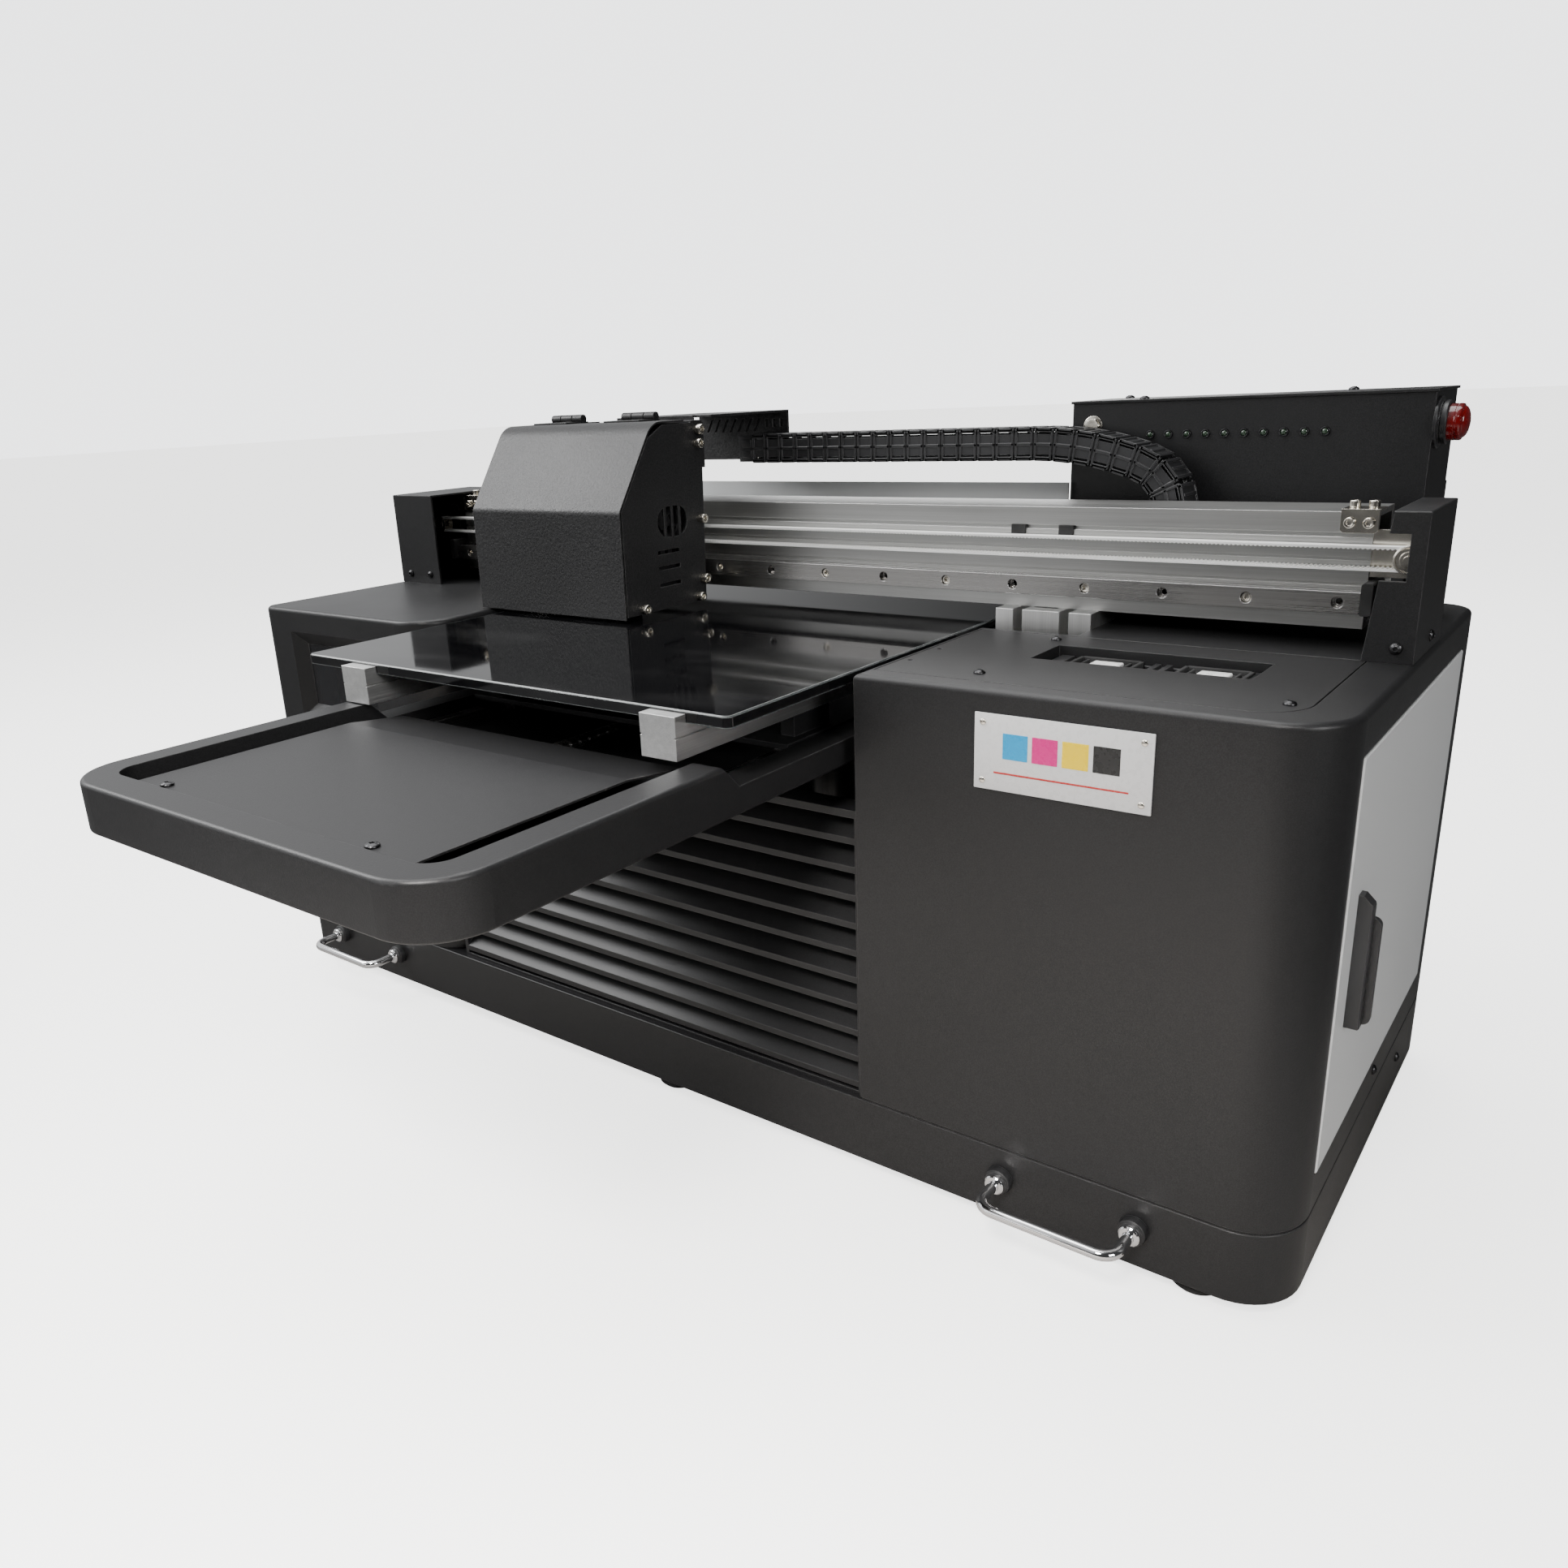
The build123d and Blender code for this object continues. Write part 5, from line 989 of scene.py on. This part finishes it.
def build_ink_tanks():
    """Six tanks with ribbed screw caps, each with a tube fitting on top."""
    inks = (("cyan", (0.0, 0.22, 0.5)), ("magenta", (0.5, 0.01, 0.16)), ("yellow", (0.8, 0.55, 0.0)),
            ("black", (0.01, 0.01, 0.012)), ("white", (0.85, 0.85, 0.83)), ("varnish", (0.7, 0.66, 0.5)))
    caps = bmesh.new()
    for k, (low, high) in enumerate(islands("ink_bottles")):
        name, colour = inks[k]
        x = (low.x + high.x) / 2
        y = (low.y + high.y) / 2
        shoulder = high.z - 0.014
        tank = bmesh.new()
        add_box(tank, low, (high.x, high.y, shoulder), 0.004, 3)
        stands_for = ("ink_bottles",) if k == 0 else ()
        finish_mesh(f"ink_tank_{name}", tank, "machine", "ink_plastic", stands_for,
                    material=ink_tank(f"ink_{name}", colour))
        cap = [(0, 0), (0.0088, 0), (0.0088, 0.0088), (0.0078, 0.0098)]
        fitting = [(0.0034, 0.0100), (0.0034, 0.0138), (0, 0.0138)]
        add_lathe(caps, cap + fitting, axis_place(Vector((x, y, shoulder)), (0, 0, 1)), 28)
        for j in range(CAP_RIBS):
            turn = Matrix.Rotation(2 * math.pi * j / CAP_RIBS, 4, "Z")
            place = Matrix.Translation((x, y, shoulder)) @ turn
            add_box(caps, (0.0084, -0.0005, 0.001), (0.0094, 0.0005, 0.0085), 0.0002, 1,
                    lambda p, m=place: m @ p)
    finish_mesh("ink_tank_caps", caps, "machine", "ink_plastic")


def build_capping_station():
    """Black tray on two pins with two rubber-lipped caps and their white pads."""
    boxes = islands("capping_station")
    frame_box = max(boxes, key=lambda box: box[1].x - box[0].x)
    pads = [box for box in boxes if box is not frame_box]
    low, high = frame_box
    base = high.z - 0.014
    tray = bmesh.new()
    add_box(tray, (low.x, low.y, base), (high.x, high.y, base + 0.006), 0.0008)
    for x0, x1 in ((low.x, low.x + 0.010), (high.x - 0.010, high.x)):
        add_box(tray, (x0, low.y, base + 0.005), (x1, high.y, high.z), 0.0008)
    for y0, y1 in ((low.y, low.y + 0.003), (high.y - 0.003, high.y)):
        add_box(tray, (low.x, y0, base + 0.005), (high.x, y1, high.z - 0.002), 0.0006)
    for x in (low.x + 0.016, high.x - 0.016):
        place = axis_place(Vector((x, (low.y + high.y) / 2, low.z)), (0, 0, 1))
        pin_top = base - low.z + 0.001
        add_lathe(tray, [(0, 0), (0.004, 0), (0.004, pin_top), (0, pin_top)], place, 20)
    middle = (pads[0][1].x + pads[1][0].x) / 2
    for side in (-1, 1):
        add_box(tray, (middle + side * 0.004 - 0.0022, low.y + 0.006, base + 0.005),
                (middle + side * 0.004 + 0.0022, high.y - 0.006, high.z + 0.0012), 0.0006)
    finish_mesh("cap_tray", tray, "caps", "black_plastic", ("capping_station",))
    lips = bmesh.new()
    whites = bmesh.new()
    for a, b in pads:
        rim = 0.003
        for x0, x1, y0, y1 in ((a.x, b.x, a.y, a.y + rim), (a.x, b.x, b.y - rim, b.y),
                               (a.x, a.x + rim, a.y, b.y), (b.x - rim, b.x, a.y, b.y)):
            add_box(lips, (x0, y0, a.z), (x1, y1, b.z - 0.0002), 0.0007)
        add_box(lips, (a.x + rim, a.y + rim, a.z), (b.x - rim, b.y - rim, b.z - 0.0034), 0.0004, 1)
        add_box(whites, (a.x + 0.0125, a.y + 0.006, a.z + 0.001), (b.x - 0.0125, b.y - 0.006, b.z - 0.0012),
                0.0012, 3)
        for x in (a.x + 0.0078, b.x - 0.0078):
            add_box(lips, (x - 0.0010, a.y + 0.006, b.z - 0.0040),
                    (x + 0.0010, b.y - 0.006, b.z - 0.0010), 0.0004, 1)
    finish_mesh("cap_lips", lips, "caps", "rubber")
    finish_mesh("cap_pads", whites, "caps", "white_pad")


def build_print_heads():
    """Head housings with cable connectors, ink ports and steel nozzle plates."""
    housings = bmesh.new()
    plates = bmesh.new()
    ports = bmesh.new()
    for low, high in islands("print_heads"):
        x = (low.x + high.x) / 2
        y = (low.y + high.y) / 2
        neck = low.z + 0.0145
        add_box(housings, (low.x, low.y, neck), high, 0.0010)
        add_box(housings, (low.x + 0.0035, low.y + 0.0025, low.z + 0.0012),
                (high.x - 0.0035, high.y - 0.0025, neck), 0.0006)
        add_box(plates, (low.x + 0.0037, low.y + 0.0027, low.z),
                (high.x - 0.0037, high.y - 0.0027, low.z + 0.0014), 0.0002, 1)
        for row in range(PORT_ROWS):
            line = low.x + 0.0115 + PORT_STEP * row
            add_box(ports, (line - PORT_R, low.y + 0.006, high.z - 0.001),
                    (line + PORT_R, low.y + 0.010, high.z + 0.007), 0.0005)
            nipple = [(0, 0), (PORT_R, 0), (PORT_R, 0.007), (0.0012, 0.009), (0, 0.009)]
            add_lathe(ports, nipple, axis_place(Vector((line, y + 0.012, high.z)), (0, 0, 1)), 16)
        add_box(ports, (x - 0.015, y - 0.006, high.z - 0.001),
                (x + 0.015, y - 0.001, high.z + 0.006), 0.0006)
    finish_mesh("head_housings", housings, "carriage", "black_plastic", ("print_heads",))
    finish_mesh("nozzle_plates", plates, "carriage", "steel")
    finish_mesh("head_ports", ports, "carriage", "white_pad")


# ---- stage, light, camera --------------------------------
def build_stage():
    """Large flat floor under the machine."""
    mesh = bpy.data.meshes.new("floor")
    size = 30.0
    corners = [(-size, -size, 0), (size, -size, 0), (size, size, 0), (-size, size, 0)]
    mesh.from_pydata(corners, [], [(0, 1, 2, 3)])
    mesh.materials.append(floor_material())
    floor = bpy.data.objects.new("floor", mesh)
    bpy.context.scene.collection.objects.link(floor)


def area_light(name, place, target, width, height, power, colour=(1, 1, 1)):
    """Rectangular soft box that looks at target."""
    data = bpy.data.lights.new(name, "AREA")
    data.shape = "RECTANGLE"
    data.size = width
    data.size_y = height
    data.energy = power
    data.color = colour
    light = bpy.data.objects.new(name, data)
    light.location = place
    light.rotation_mode = "QUATERNION"
    light.rotation_quaternion = (Vector(target) - Vector(place)).to_track_quat("-Z", "Y")
    bpy.context.scene.collection.objects.link(light)
    return light


def build_light():
    """Pale backdrop for the camera; the machine reflects a room with a bright upper left side."""
    world = bpy.data.worlds.new("studio")
    bpy.context.scene.world = world
    world.use_nodes = True
    tree = world.node_tree
    background = tree.nodes["Background"]
    background.inputs["Color"].default_value = (0.95, 0.96, 0.97, 1)
    place = tree.nodes.new("ShaderNodeTexCoord")
    toward = tree.nodes.new("ShaderNodeVectorMath")
    toward.operation = "DOT_PRODUCT"
    toward.inputs[1].default_value = Vector((-0.8, -0.1, 0.6)).normalized()
    room = tree.nodes.new("ShaderNodeMapRange")
    room.interpolation_type = "SMOOTHSTEP"
    room.inputs["From Min"].default_value = 0.25
    room.inputs["From Max"].default_value = 0.90
    room.inputs["To Min"].default_value = 0.055
    room.inputs["To Max"].default_value = 1.05
    seen = tree.nodes.new("ShaderNodeLightPath")
    level = tree.nodes.new("ShaderNodeMix")
    level.inputs[3].default_value = 3.2
    tree.links.new(place.outputs["Generated"], toward.inputs[0])
    tree.links.new(toward.outputs["Value"], room.inputs["Value"])
    tree.links.new(seen.outputs["Is Camera Ray"], level.inputs[0])
    tree.links.new(room.outputs["Result"], level.inputs[2])
    tree.links.new(level.outputs[0], background.inputs["Strength"])
    middle = (CAD_LOW + CAD_HIGH) / 2
    area_light("top_soft_box", (-0.3, 0.2, 2.6), middle, 2.2, 1.6, 52)
    area_light("slope_soft_box", (-2.0, -0.9, 2.1), middle, 1.3, 1.3, 62)
    area_light("beam_soft_box", (-1.2, -2.5, 0.8), middle, 1.6, 0.7, 5)
    area_light("door_soft_box", (2.6, -0.9, 1.3), (0.52, 0.2, 0.25), 1.0, 1.0, 36)
    area_light("rear_soft_box", (-1.0, 2.6, 1.7), middle, 1.5, 1.0, 20)
    wash = area_light("floor_wash", (0.5, -1.3, 1.5), LIT_FLOOR, 0.5, 0.5, 9, (1.0, 0.97, 0.94))
    wash.data.spread = math.radians(60)


CAMERA_PLACE = (0.6490, -0.7212, 0.5851)
CAMERA_AZIMUTH = 38.714         # degrees, from +Y towards -X
CAMERA_ELEVATION = -18.046
CAMERA_ROLL = -2.814


def build_camera():
    """Front right view from a little above the machine, with the lens shifted a little."""
    data = bpy.data.cameras.new("camera")
    camera = bpy.data.objects.new("camera", data)
    pan = Matrix.Rotation(math.radians(CAMERA_AZIMUTH), 4, "Z")
    tilt = Matrix.Rotation(math.radians(90 + CAMERA_ELEVATION), 4, "X")
    roll = Matrix.Rotation(math.radians(CAMERA_ROLL), 4, "Z")
    camera.matrix_world = Matrix.Translation(CAMERA_PLACE) @ pan @ tilt @ roll
    data.sensor_width = 36.0
    data.lens = 27.783
    data.shift_x = 0.03182
    data.shift_y = 0.00428
    data.clip_start = 0.05
    data.clip_end = 100
    bpy.context.scene.collection.objects.link(camera)
    bpy.context.scene.camera = camera


build_fasteners()
build_bright_screws()
build_chain()
build_chain_mount()
build_belt()
build_pulley("idler_pulley_toothed", "x_idler_pulley", "idler_pulley")
build_pulley("drive_pulley_toothed", "x_drive_pulley", "drive_pulley")
build_threaded("ball_screw_thread", "y_ball_screw", "table_drive", "Y", 0.010, 0.0009, 0.016, 0.022)
build_threaded("lift_screw_thread", "lift_screw", "bed_drive", "Z", 0.005, 0.0011, 0.030, 0.004)
build_indicators()
build_button()
build_front_handles()
build_nameplate()
build_ink_tanks()
build_capping_station()
build_print_heads()
build_stage()
build_light()
build_camera()
